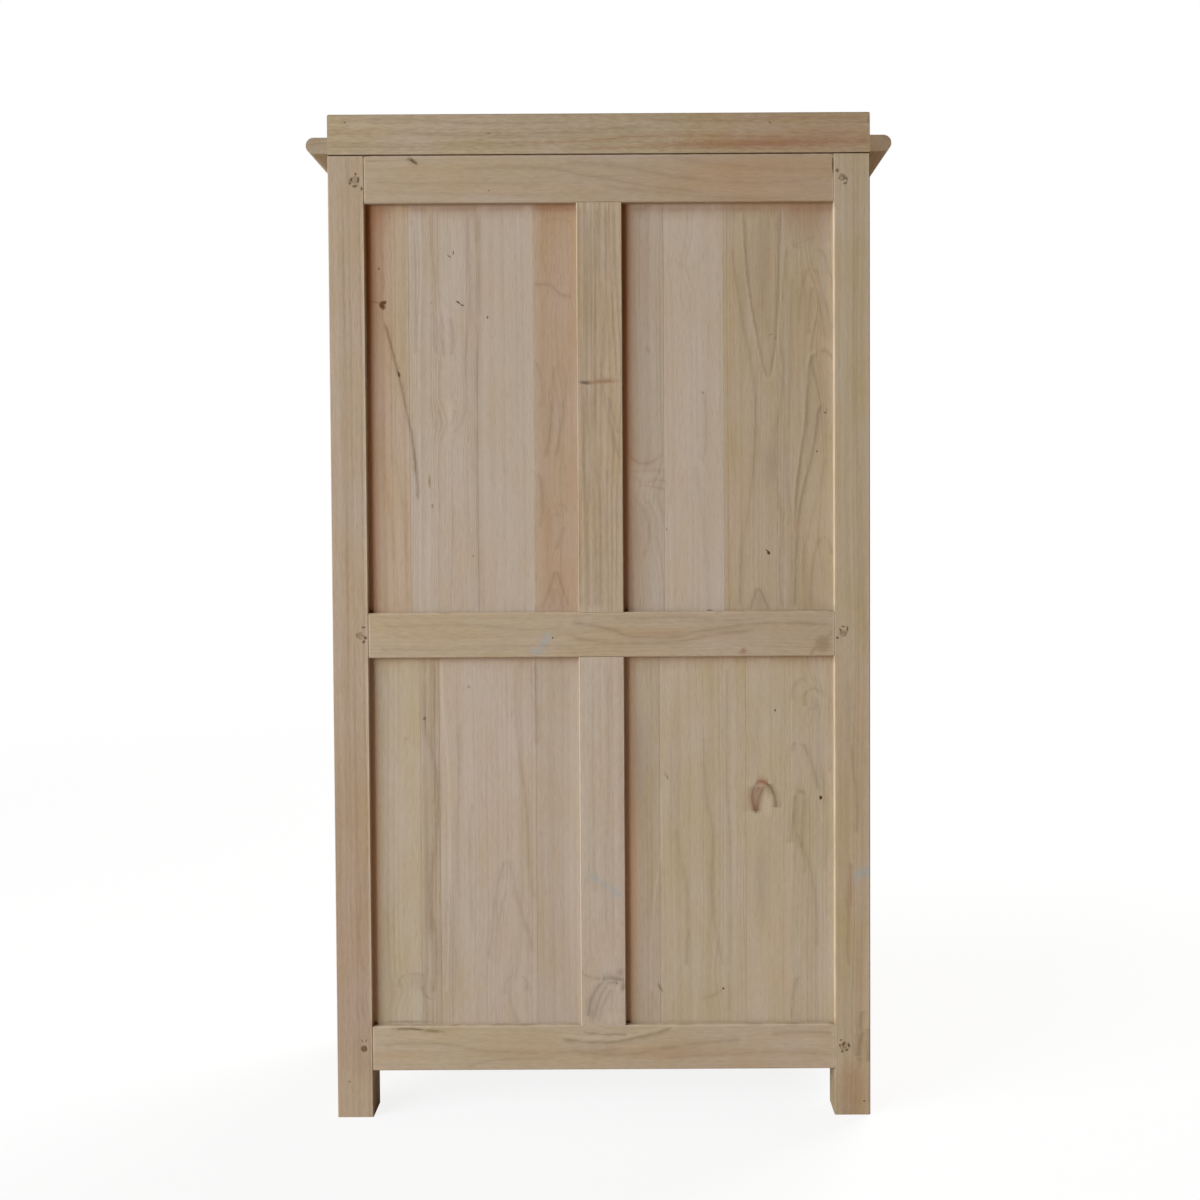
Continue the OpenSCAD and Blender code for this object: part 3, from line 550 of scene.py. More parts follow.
UPPER_LEFT_MARKS = {"dark": [(95, 60, -284.4, 961, 2.6, 4.2, 25), (85, 50, -366.9, 1132.5, 1.4, 1.8),
     (60, 40, -384, 1203, 1.6, 1.6), (60, 30, -184, 863.5, 6, 1.6)],
    "brown": [(80, 40, -281.5, 965, 3.4, 1.6, -30), (85, 40, -381.2, 1198, 3.2, 2.2),
     (65, 20, -297.2, 1323.4, 3.4, 5.4, 10), (45, 20, -289, 1330, 5, 1.8, 20),
     (60, 30, -111.7, 1001.5, 1.8, 2.6), (25, 0, -82, 1305, 5, 9, 30), (17, 10, -274, 1440, 20, 150, -2),
     (18, 20, -267, 880, 9, 20)],
    "grey": [(60, 20, -174.3, 1232.8, 3.4, 3.4), (30, 0, -286, 1110, 17, 46)],
    "olive": [(8, 30, -377, 1190, 17, 118, 4), (6, 30, -380, 920, 18, 72)],
    # the red patch under the top edge is partly the wood's colour and partly painted shade
    "red": [(32, 0, -350, 1530, 70, 64)],
    "pale": [(28, 30, -62, 1076, 32, 44), (15, 40, -370, 1020, 30, 190)],
    # the glow oval is painted warm light in the shade along the left edge, by the muntin
    "glow": [(48, 20, -42, 1200, 16, 420)]}
UPPER_LEFT_STROKES = {"brown": [(2.9, 28, -47, 1133, -59, 1118, -75, 1113, -93, 1119, -106, 1134),
     (2.6, 17, -46, 1105, -63, 1100, -86, 1102, -112, 1099),
     (2.9, 19, -46, 1093, -62, 1087, -75, 1082, -93, 1085, -112, 1082),
     (2.6, 23, -62, 1070, -72, 1076, -92, 1074, -109, 1069),
     (3, 24, -62, 1070, -61, 1056, -70, 1041, -78, 1021, -82, 996, -77, 968, -67, 953),
     (2.6, 20, -73, 1067, -73, 1056, -82, 1044),
     (3.6, 24, -224, 1480, -233, 1407, -245, 1339, -256, 1283, -263, 1215, -263, 1159, -257, 1086, -247,
     1012, -238, 944, -235, 865),
     (3.4, 46, -243, 1541, -246, 1485, -251, 1424, -259, 1367, -268, 1317, -277, 1277, -284.6, 1254),
     (3.4, 42, -306, 1547, -304, 1485, -302, 1406, -298, 1339, -294, 1294, -284.6, 1254),
     (3, 17, -271, 1547, -273, 1474, -277, 1395, -283, 1339, -285, 1311),
     (3.6, 24, -317, 1479, -310, 1401, -305, 1339, -310, 1271, -307, 1215, -296, 1136, -300, 1068, -307,
     1000, -304, 932, -307, 864),
     (3.4, 21, -331, 1429, -324, 1378, -324, 1305, -321, 1226, -314, 1136, -319, 1057, -324, 989, -321, 864),
     (3.4, 46, -375, 1302, -365, 1297, -356, 1282, -352, 1237, -348, 1181, -340, 1125, -332, 1057, -330,
     989), (3.6, 31, -373, 1302, -381, 1301.5, -388, 1298, -396, 1288),
     (3.3, 42, -381, 1216, -370, 1198, -365, 1158, -356, 1113, -344, 1068, -335, 1012, -331, 944, -329, 864),
     (3.6, 31, -377, 991, -367, 972, -360, 938, -356, 898, -356, 863),
     (3.4, 28, -378, 991, -387, 977, -395, 955),
     (3, 20, -382, 1125, -375, 1085, -365, 1040, -352, 995, -344, 944, -341, 864),
     (3.4, 37, -267, 903, -259, 884, -253, 863), (3.4, 37, -267, 903, -277, 883, -284, 863),
     (3, 23, -331, 1479, -343, 1497, -358, 1495, -374, 1471, -388, 1437, -397, 1406),
     (3, 23, -338, 1350, -340, 1395, -347, 1429, -356, 1444),
     (3, 23, -358, 1444, -367, 1436, -378, 1400, -388, 1355, -395, 1316),
     (2.9, 19, -353, 1328, -355, 1378, -361, 1412),
     (2.9, 19, -361, 1412, -367, 1400, -374, 1367, -381, 1322),
     (3.4, 19, -286, 1170, -296, 1162, -301, 1131, -297, 1091, -286, 1074)],
    "grey": [(3, 14, -115, 1461, -133, 1452, -153, 1436), (3, 14, -153, 1436, -168, 1452, -181, 1480),
     (3.4, 21, -173, 1239, -179, 1182, -170, 1114), (3.8, 19, -160, 1114, -169, 1058, -177, 973, -183, 865)],
    "pale": [(2.6, 36, -239, 1541, -242, 1485, -247, 1424, -255, 1367, -264, 1317, -273, 1277, -284, 1246),
     (2.6, 36, -310, 1547, -308, 1485, -306, 1406, -302, 1339, -297, 1290, -284.6, 1246),
     (2.6, 36, -370, 1308, -360, 1302, -351, 1285, -347, 1237, -343, 1181, -335, 1125, -327, 1057, -325,
     989), (2, 20, -376, 1223, -366, 1203, -360, 1158, -351, 1113, -339, 1068, -330, 1012, -326, 944)]}


def upper_left_panel():
    """The panel at the upper right of the picture, with the long arches."""
    staves = [
        stave("tan", 31, 1.03, -900, spacing=6.5, contrast=0.17, wave=7, streak=0.14, mottle=0.35, dash=0.2),
        stave("grey", 37, 1.02, 300, spacing=12, contrast=0.1, wave=9, streak=0.08, mottle=0.25, dash=0.15),
        stave("grey", 44, 0.925, 200, spacing=9, contrast=0.15, wave=8, streak=0.12, dash=0.2),
    ]
    swells = [
        (27, -262, 1570, 20, 300), (28, -376, 1120, 24, 190), (24, -376, 860, 22, 110),
        (14, -264, 840, 12, 50), (16, -367, 1390, 18, 60), (20, -78, 1060, 30, 44), (14, -82, 980, 20, 46),
        (14, -150, 1450, 32, 40),
    ]
    back_panel("upper_left", staves, (-209.9, -108.1), swells, UPPER_LEFT_MARKS, UPPER_LEFT_STROKES,
               LEFT_SPAN, UPPER_SPAN, (9, 44), (13, 0.9, 0.7))


# The dark band low at the left is painted shadow; the second pale oval and the glow are painted light in the
# shade along the left edge.
LOWER_RIGHT_MARKS = {"dark": [(35, 0, 336, 160, 50, 3)],
    "brown": [(85, 40, 302.3, 681.2, 3.4, 4.6), (60, 20, 301, 670, 1.4, 14), (40, 10, 334.5, 647.1, 3, 4),
     (14, 30, 262, 290, 18, 140)],
    "grey": [(70, 20, 226.7, 735.6, 3.4, 3.4), (22, 0, 318, 230, 22, 20)],
    "olive": [(26, 0, 294, 320, 11, 42, 4), (20, 0, 288, 240, 7, 40), (14, 0, 298, 480, 9, 150)],
    "pale": [(14, 30, 48, 470, 20, 340), (40, 0, 392, 260, 12, 200)],
    "glow": [(60, 20, 392, 440, 14, 420)]}
LOWER_RIGHT_STROKES = {"brown": [(4.2, 28, 302, 745, 301, 677, 294, 637, 286, 585, 289, 528),
     (4.5, 29, 290, 782, 285, 711, 290, 642, 281, 562, 283, 482, 292, 425, 295, 367, 291, 310),
     (4.2, 28, 282, 516, 287, 448, 296, 390, 298, 333),
     (3.8, 19, 147, 781, 146, 687, 138, 596, 130, 527, 127, 447, 118, 366),
     (4.2, 28, 113, 781, 112, 710, 112.6, 630), (3.8, 20, 165, 442, 172, 424, 181, 390, 188, 332, 198, 263),
     (3.8, 20, 165, 442, 157, 424, 148, 378, 134, 332, 120, 274),
     (3.4, 15, 163, 390, 174, 355, 183, 309, 187, 251), (3.4, 16, 157, 390, 140, 343, 132, 309),
     (3, 21, 351, 218, 348, 235, 334, 242), (3, 21, 334, 242, 315, 242, 306, 235),
     (3.2, 30, 312, 223, 309, 212, 296, 197)],
    "olive": [(4.2, 34, 296, 344, 288, 321, 286, 275, 296, 206)],
    "pale": [(1.8, 50, 274, 782, 272, 711, 264, 608, 262, 516, 264, 367, 269, 206)],
    "grey": [(3, 27, 169, 205, 166, 228, 152, 240), (3, 27, 152, 240, 135, 234, 130, 211),
     (3.4, 28, 245, 676, 244, 585, 249, 482, 246, 367), (3.4, 28, 224, 539, 227, 424, 219, 309)]}


def lower_right_panel():
    """The panel at the lower left of the picture."""
    staves = [
        stave("grey", 51, 0.94, 900, spacing=13, contrast=0.08, wave=4, streak=0.1, mottle=0.25, dash=0.2),
        stave("grey", 57, 0.975, 600, contrast=0.11, wave=7, streak=0.12, dash=0.2),
        stave("dull", 60, 1.035, 800, spacing=9, contrast=0.2, wave=7, mottle=0.4, dash=0.2),
        stave("straw", 66, 0.958, -300, spacing=14, contrast=0.1, streak=0.11, mottle=0.35, dash=0.2),
    ]
    swells = [(14, 334, 215, 26, 26), (15, 165, 250, 20, 130), (10, 150, 200, 16, 36)]
    back_panel("lower_right", staves, (112.5, 276.9, 309.4), swells, LOWER_RIGHT_MARKS, LOWER_RIGHT_STROKES,
               RIGHT_SPAN, LOWER_SPAN, (6, 20), (7, 0.2, 1.0))


# The glow and the pale oval at x -66 are painted light in the shade along the left edge, by the muntin.
LOWER_LEFT_MARKS = {"dark": [(95, 60, -372.5, 542, 3, 3.8), (85, 50, -295.1, 692.3, 1.8, 2.4),
     (95, 50, -205.2, 214.8, 2.4, 2.2)],
    "pale": [(40, 30, -281, 530, 12, 24), (18, 20, -268, 640, 22, 90), (18, 20, -66, 720, 28, 70)],
    "glow": [(58, 0, -44, 470, 24, 520)],
    "brown": [(70, 40, -110.8, 579, 1.8, 4.6, 20), (30, 0, -108, 583, 4, 6, 20)],
    "olive": [(70, 20, -97, 217, 3.2, 11, 26), (18, 10, -362, 705, 9, 15)],
    "grey": [(30, 0, -60, 600, 18, 160), (18, 0, -262, 640, 14, 100), (26, 0, -270, 400, 16, 100),
     (12, 30, -124, 560, 14, 170)]}
LOWER_LEFT_STROKES = {"brown": [(4.2, 85, -278, 568, -289, 557, -294, 545, -296, 525),
     (3.4, 23, -323, 708, -325, 727, -335, 742, -350, 748),
     (3.2, 20, -352, 748, -366, 742, -375, 727, -378, 713),
     (3.2, 24, -329, 484, -337, 467, -343, 444, -346, 410),
     (3.4, 23, -367, 707, -372, 662, -373, 610, -380, 536, -383, 478, -378, 410),
     (3.2, 23, -383, 776, -388, 719, -387, 650, -391, 581),
     (3.2, 19, -337, 467, -354, 421, -363, 364, -365, 283),
     (3.4, 23, -173, 651, -178, 537, -189, 480, -186, 388, -194, 307, -211, 249),
     (3, 28, -168, 198, -188, 203, -204, 214), (3.2, 26, -322, 162, -324, 203, -337, 237)],
    "rust": [(8.5, 100, -262, 518, -260, 530, -259, 542, -261, 553, -266, 563),
     (5.2, 100, -261, 566, -268, 571, -277, 569, -284, 563)],
    "dark": [(3, 80, -263, 514, -258, 528, -255, 539, -256, 552, -261, 564, -266, 570),
     (3, 50, -262, 514, -265, 530, -267, 542, -271, 552, -275, 563)],
    "olive": [(4, 50, -281, 567, -288, 558, -292, 548), (3, 34, -346, 699, -345, 713, -352, 726),
     (3, 34, -352, 726, -363, 729, -371, 722, -372, 708), (3, 28, -371, 708, -363, 697, -352, 696),
     (3.4, 37, -325, 622, -326, 633, -334, 638),
     (3.2, 34, -334, 638, -342, 634, -349, 622, -356, 605, -363, 582, -369, 553),
     (4.7, 52, -321, 462, -326, 505, -329, 540, -332, 550),
     (4.4, 47, -331, 549, -337, 553, -343, 551, -347, 541), (3.9, 29, -347, 545, -342, 514, -340, 454),
     (3.4, 27, -126, 491, -132, 445, -142, 399, -144, 330, -142, 250),
     (3, 23, -215, 770, -212, 600, -218, 420, -214, 170)],
    "pale": [(1.8, 40, -82, 204, -83, 308, -93, 411, -101, 480, -98, 560),
     (1.2, 50, -322, 780, -322, 500, -322, 170)]}


def lower_left_panel():
    """The panel at the lower right of the picture, with the horseshoe knot."""
    staves = [
        stave("straw", 71, 0.985, -700, contrast=0.13, wave=7, streak=0.12, mottle=0.35, dash=0.2),
        stave("straw", 78, 1.0, -600, spacing=12, contrast=0.09, wave=5, streak=0.1, dash=0.2),
        stave("straw", 83, 0.99, 300, spacing=9, contrast=0.11, wave=8, streak=0.12, mottle=0.4, dash=0.2),
        stave("dull", 90, 1.015, 500, spacing=10, contrast=0.12, wave=7, streak=0.13, mottle=0.4, dash=0.2),
    ]
    swells = [
        (16, -275, 538, 17, 36), (18, -356, 715, 20, 30), (12, -343, 590, 13, 50), (9, -340, 480, 12, 70),
        (8, -190, 240, 18, 50),
    ]
    back_panel("lower_left", staves, (-322, -245, -98), swells, LOWER_LEFT_MARKS, LOWER_LEFT_STROKES,
               LEFT_SPAN, LOWER_SPAN, (7, 22), (4, 0.5, 1.0))


PEG_X = 409
PEG_ZS = (118, 824, 1590.5)
# Chips about each peg: how far right and up of it in the picture, half width, half height, turn
PEG_CHIPS = {
    (1, 1590.5): (
        (1.4, 9.6, 2.7, 2.5, 0), (-5.7, -0.2, 5.4, 3.7, 30), (5.4, -0.6, 2.5, 6.1, -10),
        (-0.1, -10.5, 6.1, 2.7, 10), (11.1, -14.9, 2.4, 3.7, 10), (-8.4, -5.8, 2.5, 3.1, 0)),
    (1, 824): (
        (6.3, 14.4, 3.7, 2, 0), (-2.8, 1.7, 4.8, 2.4, -10), (9.3, -3.6, 3.6, 3.3, 20),
        (6.8, -10.6, 2.9, 3.3, 0)),
    (1, 118): ((-3, 13, 1.2, 3.4, 30), (3.6, 14, 1.0, 3.6, -35)),
    (-1, 1590.5): (
        (-8.7, 11.3, 3.1, 3.7, 20), (-3.2, -2.2, 4.1, 1.9, -20), (6.8, -2.1, 2.2, 5.2, 15),
        (4.5, -9.6, 4.4, 2.2, 25), (-1.5, 3.8, 1.9, 2.7, 30)),
    (-1, 824): (
        (7.3, 7.3, 2.1, 5.8, 0), (3.8, -0.3, 4.6, 2.2, 30), (-4.5, 5.7, 1.9, 4.8, 15),
        (0.4, 11.6, 3.7, 1.7, 0), (-9.2, -7.3, 3.3, 2.2, 0)),
    (-1, 118): (
        (9, 2, 2.4, 5.2, 15), (6, -6, 4.0, 2.2, 30), (1, 6, 3.8, 1.8, 20), (-4, 11, 2.2, 2.2, 0),
        (-2, -9, 2.6, 2.6, 0), (-6, 2, 1.8, 2.6, 0)),
}


def peg_marks(side):
    """The rims of the three peg holes of a back post, and torn fibres round them."""
    x = side * PEG_X
    rims = [(60, 75, x, z, 6.2, 6.2) for z in PEG_ZS]
    chips = [(92, 20, x - right, z + up, half_x * 1.1, half_z * 1.1, turn)
             for z in PEG_ZS for right, up, half_x, half_z, turn in PEG_CHIPS[side, z]]
    return {"brown": rims, "bark": chips}


POST_RIGHT_MARKS = {"dark": [(60, 40, 434.5, 61.3, 1.8, 2.6)],
    "pale": [(12, 40, 424, 30, 50, 60)],
    "red": [(12, 0, 448, 400, 6, 330)],
    "brown": [(9, 30, 424, 360, 42, 420)],
    "shade": [(5, 50, 424, 430, 60, 420)]}
POST_RIGHT_STROKES = {"brown": [(3.4, 27, 416, 428, 412, 371, 415, 314, 412, 268, 400, 245, 395, 236),
     (3.2, 21, 406, 462, 404, 371, 406, 314, 402, 279, 395, 268), (3.2, 27, 395, 232, 408, 230, 417, 217),
     (3.2, 24, 417, 217, 420, 188, 412, 165), (3, 20, 396, 222, 407, 216, 412, 199),
     (3, 20, 412, 199, 409, 179, 398, 167), (3.2, 21, 441, 257, 436, 211, 435, 165, 442, 119),
     (3.2, 15, 430, 1500, 432, 1200, 428, 900, 434, 600, 430, 480)]}
POST_LEFT_MARKS = {"dark": [(70, 40, -444.4, 23.8, 2.2, 2)],
    "pale": [(12, 50, -424, 1250, 60, 540)],
    "red": [(34, 0, -418, 370, 5, 90), (16, 0, -436, 250, 12, 130), (30, 20, -428, 42, 34, 62)],
    "olive": [(42, 30, -394, 36, 2.6, 60)],
    "brown": [(34, 0, -437, 122, 7, 27, -16), (30, 0, -450, 112, 6, 34, 6)]}
POST_LEFT_STROKES = {"blue": [(6.6, 50, -424, 407, -438, 415, -455, 421)],
    "red": [(2.9, 47, -420, 435, -422, 390, -420, 355),
     (2.6, 39, -413, 378, -418, 332, -416, 287, -426, 252)],
    "olive": [(3.4, 30, -424, 640, -427, 584, -433, 527, -431, 481),
     (3.2, 27, -415, 748, -420, 692, -419, 635), (3.2, 20, -436, 1500, -430, 1250, -438, 1000, -432, 860)],
    "brown": [(6.4, 50, -442, 144, -436, 118, -433, 99), (4.4, 45, -431, 102, -434, 95, -441, 97),
     (6.2, 42, -448, 150, -454, 124, -453, 90), (4.4, 34, -446, 180, -438, 158, -441, 140)]}


def back_post(name, side, wood, bends, marks, strokes, arris_x, half, strength):
    """A back post with its pegs, and painted highlights on the arrises where the rails and the panels meet
    it.
    """
    panel_spans = [(low + 4, high - 4) for low, high in (LOWER_SPAN, UPPER_SPAN)]
    # the shoulder lines and the arris lines are painted highlights
    shoulders = painted_highlight_lines(side * POST_JOINT_X, RAIL_SPANS.values(), 1.2, 40)
    strokes = joined(strokes, {"painted_highlight": shoulders + painted_highlight_lines(arris_x, panel_spans, half, strength)})
    board(f"post_back_{name}", UPRIGHT, [wood], (), bends, joined(peg_marks(side), marks), strokes, True)


def back_posts():
    right = stave("pink", 5, 0.9, 1200, spacing=9, contrast=0.18, streak=0.17, mottle=0.35)
    left = stave("olive", 9, 1.055, -1000, contrast=0.17, wave=7, streak=0.19, mottle=0.4, dash=0.2)
    back_post("right", 1, right, [(16, 402, 205, 12, 36)],
              POST_RIGHT_MARKS, POST_RIGHT_STROKES, 396, 2, 35)
    back_post("left", -1, left, [(15, -443, 108, 12, 30), (5, -420, 340, 8, 60)],
              POST_LEFT_MARKS, POST_LEFT_STROKES, -394.5, 2.2, 45)


RAIL_TOP_MARKS = {"olive": [(95, 0, 313.5, 1623, 8.5, 4.4, -32), (75, 0, 320, 1624, 4, 3, 20),
     (25, 0, 312, 1620, 17, 9, -20)],
    "brown": [(85, 0, 307, 1618, 6, 3.2, -45), (80, 40, 184.5, 1571.4, 1.8, 1.8)],
    "bark": [(75, 0, 312, 1621.5, 11, 3.8, -34)],
    "rust": [(7, 20, -230, 1590, 250, 60)],
    "shade": [(8, 30, -300, 1590, 220, 60)],
    "glow": [(8, 30, -300, 1590, 220, 60)],
    "dark": [(80, 30, -392.5, 1612, 1.6, 20)]}
RAIL_TOP_STROKES = {"brown": [(3.4, 23, 230, 1606, 120, 1610, 20, 1596, -90, 1577, -180, 1566),
     (3.4, 24, 60, 1620, -40, 1610, -150, 1590, -260, 1582, -380, 1590),
     (3.4, 20, -120, 1625, -220, 1612, -330, 1604, -392, 1606),
     (3.2, 20, 0, 1580, -110, 1566, -230, 1557, -330, 1556),
     (3, 15, 390, 1590, 280, 1583, 180, 1584, 90, 1576)]}
RAIL_MID_MARKS = {"dark": [(85, 50, 82.7, 819, 1.8, 1.8)],
    "red": [(34, 10, -240.4, 794, 11, 7), (20, 0, -100, 827, 90, 7)],
    "brown": [(42, 20, -240.4, 796, 5, 6), (30, 50, -374, 806, 15, 17)]}
RAIL_MID_STROKES = {"blue": [(5.6, 38, 87, 830, 101, 805, 109.5, 788), (5, 28, 112, 802, 118.5, 791)],
    "brown": [(3.4, 29, 53, 846, 19, 841, -20, 831, -71, 819, -116, 819, -161, 828, -212, 835, -286, 842,
     -387, 839), (3.4, 27, 53, 820, 14, 814, -31, 809, -88, 809, -139, 813, -190, 823, -263, 830),
     (3.4, 21, -15, 855, -71, 851, -133, 853, -201, 848, -286, 852),
     (3.8, 37, -352, 788, -365, 802, -379, 815, -392, 826), (3.2, 14, 380, 838, 240, 842, 120, 834, 60, 842),
     (3.2, 14, 380, 806, 260, 800, 150, 806, 40, 798)]}
RAIL_LOW_MARKS = {"olive": [(80, 0, 338, 152.5, 30, 4.4, 1), (75, 0, 292, 148, 26, 4.6, -4)],
    "dark": [(60, 10, 318, 151, 14, 2.2, -3)],
    "red": [(14, 0, -100, 108, 150, 16)]}
RAIL_LOW_STROKES = {"brown": [(3.2, 19, 380, 124, 306, 127, 192, 112, 78, 110, -36, 122),
     (3, 17, 238, 83, 158, 99, 78, 100), (1.6, 50, 38, 146, 18, 143, -1, 141, -42, 140),
     (3.2, 27, -284, 138, -341, 143, -392, 137), (3.2, 19, -80, 96, -180, 104, -290, 108, -390, 104)],
    "pale": [(3.6, 42, 75, 139, 45, 135, 16, 133, -28, 134, -62, 142, -96, 150, -130, 158)],
    "olive": [(3.4, 53, 75, 134, 45, 129, 16, 127, -11, 127, -35, 130, -62, 136, -81, 140, -120, 153),
     (3.9, 29, 58, 119, 18, 108, -33, 106, -90, 114, -159, 124, -238, 130)]}


def back_rail(name, wood, swells, marks, strokes, arris):
    """A back rail with a painted highlight along its arris and painted highlights at its shoulders."""
    span = [RAIL_SPANS[name]]
    # painted highlights along the upper arris and at both shoulders
    painted_highlight = [arris] + painted_highlight_lines(RAIL_JOINT_X, span, 1.2, 35) + painted_highlight_lines(-RAIL_JOINT_X, span, 1.2, 35)
    board(f"rail_back_{name}", LEVEL, [wood], (), swells, marks, joined(strokes, {"painted_highlight": painted_highlight}), True)


def back_rails():
    top = stave("tan", 101, 0.955, 1000, spacing=10, contrast=0.09, wave=8, streak=0.08, dash=0.35)
    middle = stave("tan", 107, 1.0, 1500, spacing=10, contrast=0.08, wave=8, streak=0.08, mottle=0.35,
                   dash=0.35)
    bottom = stave("tan", 112, 1.03, -700, spacing=10, contrast=0.09, wave=8, streak=0.09, mottle=0.35,
                   dash=0.35)
    # The last argument of each rail is a painted highlight along its upper arris; on the top rail it lightens
    # the shaded crease under the crown.
    back_rail("top", top, [(14, -60, 1545, 300, 22, -3)], RAIL_TOP_MARKS, RAIL_TOP_STROKES,
              (0.9, 90, 390, 1629.8, -393, 1629.8))
    back_rail("middle", middle, [(12, -95, 832, 150, 14), (9, -240, 792, 26, 12)],
              RAIL_MID_MARKS, RAIL_MID_STROKES, (1.4, 95, 392, 862.6, -392, 862.6))
    back_rail("bottom", bottom, [(14, 0, 150, 110, 20)], RAIL_LOW_MARKS, RAIL_LOW_STROKES,
              (1.4, 95, 392, 156.6, -392, 156.6))


MUNTIN_UPPER_MARKS = {"dark": [(72, 0, 24, 1249.3, 14, 4.6, -4)],
    "rust": [(50, 0, -4, 1251, 36, 5, 2)],
    "brown": [(25, 0, -8, 1254, 20, 6, 2)]}
MUNTIN_UPPER_STROKES = {"brown": [(3.4, 31, -1, 1290, -5, 1249, -12, 1204, -22, 1159, -33, 1114),
     (3, 27, -14, 1227, -22, 1193, -32, 1162),
     (3.8, 29, 31, 1546, 33, 1395, 31, 1250, 30, 1115, 35, 1002, 34, 867),
     (3.8, 31, 19, 1546, 19, 1451, 22, 1250, 18, 1115, 22, 1002, 19, 867),
     (3.8, 31, 3, 1545, 6, 1395, 8, 1250, 5, 1115, 1, 1002, 4, 867),
     (3.6, 28, -13, 1545, -10, 1395, -5, 1262), (3, 23, 12, 1545, 13, 1400, 14, 1260),
     (3, 17, -26, 1545, -24, 1420, -20, 1300), (3.2, 23, 12, 1240, 12, 1100, 10, 960, 13, 868),
     (3.2, 21, -12, 1110, -10, 1000, -14, 868)]}
MUNTIN_LOWER_MARKS = {"ash": [(50, 0, -30, 248, 10, 9, 10), (40, 0, 18, 176, 8, 16, -10)],
    "olive": [(55, 0, -34, 222, 6, 12, -10)],
    "dark": [(70, 30, -22.6, 229, 1.6, 2)],
    "pale": [(30, 0, -12, 170, 12, 14)]}
MUNTIN_LOWER_STROKES = {"blue": [(5.1, 46, 26, 418, -1, 399, -32, 377)],
    "ash": [(4.6, 62, 25.7, 170, 22.6, 196, 13.2, 216, 1, 232),
     (5, 66, 3, 231, -10, 238, -23, 236, -37, 235), (3.4, 50, 16, 168, 10, 193, 3.5, 210, -6.3, 226),
     (2.8, 50, -4, 225, -15, 230, -23, 229), (3, 36, 7.5, 162, 3.7, 186, -3.7, 200, -12, 220)],
    "olive": [(2.6, 34, 36, 250, 23, 239, 3, 236)],
    "grey": [(3, 23, -8, 780, -12, 600, -6, 420, -10, 300), (3, 20, 14, 780, 16, 560, 12, 380)]}


def back_muntins():
    upper = stave("tan", 121, 1.05, -700, contrast=0.26, streak=0.26, mottle=0.4)
    lower = stave("grey", 127, 0.995, 600, spacing=9, contrast=0.1, streak=0.14)
    board("muntin_back_upper", UPRIGHT, [upper], (), [(12, -34, 1250, 24, 150)], MUNTIN_UPPER_MARKS,
          MUNTIN_UPPER_STROKES, True)
    board("muntin_back_lower", UPRIGHT, [lower], (), [(22, -22, 190, 26, 56)], MUNTIN_LOWER_MARKS,
          MUNTIN_LOWER_STROKES, True)


CROWN_MARKS = {"red": [(60, 0, -270, 1648, 250, 11, 1), (22, 0, -380, 1664, 120, 22)],
    "dark": [(60, 30, -287.9, 1682.2, 4, 1.4, -30), (50, 30, 183.7, 1666.4, 5, 1.6, 10),
     (70, 30, 425.2, 1686, 3.4, 1.6, -20), (30, 0, -452, 1688, 3, 10)],
    "shade": [(15, 40, -330, 1662, 240, 50)]}
CROWN_STROKES = {"olive": [(3, 28, 330, 1672, 190, 1663, 60, 1668, -80, 1676),
     (3, 26, 440, 1684, 320, 1690, 180, 1682, 60, 1690),
     (3, 24, 450, 1650, 330, 1646, 220, 1650, 110, 1643)],
    "red": [(2.3, 39, 120, 1650, 0, 1655, -120, 1661, -300, 1659, -450, 1652),
     (2.3, 35, 60, 1640, -80, 1643, -220, 1650, -380, 1642)],
    "brown": [(3, 23, -60, 1692, -200, 1686, -340, 1690, -450, 1684)],
    # the lightest lines are painted light in the shaded crease under the crown
    "painted_highlight": [(0.8, 70, 390, 1630.3, 60, 1630.3), (0.9, 100, 60, 1630.3, -454, 1630.3)]}


def back_crown():
    wood = stave("olive", 131, 0.965, 2600, spacing=6, contrast=0.12, wave=5, streak=0.24, mottle=0.5,
                 dash=0.8)
    board("crown_back", LEVEL, [wood], (), (), CROWN_MARKS, CROWN_STROKES, True)


# The pieces that the photograph doesn't show, by how their grain lies
OTHER_BOARDS = {
    UPRIGHT: ["post_front_left", "post_front_right"],
    LEVEL: ["rail_front_top", "rail_front_bottom", "crown_front", "moulding_front"],
    SIDE_UPRIGHT: [],
    SIDE_LEVEL: ["crown_left", "crown_right", "moulding_left", "moulding_right"],
    SHELF_LIKE: ["board_bottom", "board_counter", "board_ceiling", "shelf", "crown_top_panel"],
    TURNED: ["stemware_rails", "knob_left", "knob_right"],
}
for _side in ("left", "right"):
    for _level in ("top", "middle", "bottom"):
        OTHER_BOARDS[SIDE_LEVEL].append(f"rail_{_side}_{_level}")
        OTHER_BOARDS[LEVEL].append(f"door_{_side}_{_level}_rail")
    for _name in ("hinge_stile", "meeting_stile", "upper_panel", "lower_panel"):
        OTHER_BOARDS[UPRIGHT].append(f"door_{_side}_{_name}")
    for _level in ("upper", "lower"):
        OTHER_BOARDS[SIDE_UPRIGHT].append(f"panel_{_side}_{_level}")
WIDE = ("panel", "board", "shelf", "crown_top")
KNOTLESS = ("moulding", "knob", "stemware", "crown")
WIDE_KINDS = ("tan", "grey", "straw", "pink", "dull", "red")
NARROW_KINDS = ("tan", "olive", "tan")
STAVE_W = 98
ARCHED_SHARE = 0.4
ARCHED_DEEP = 130
PLAIN_DEEP = 60
PLAIN_PITH = 600


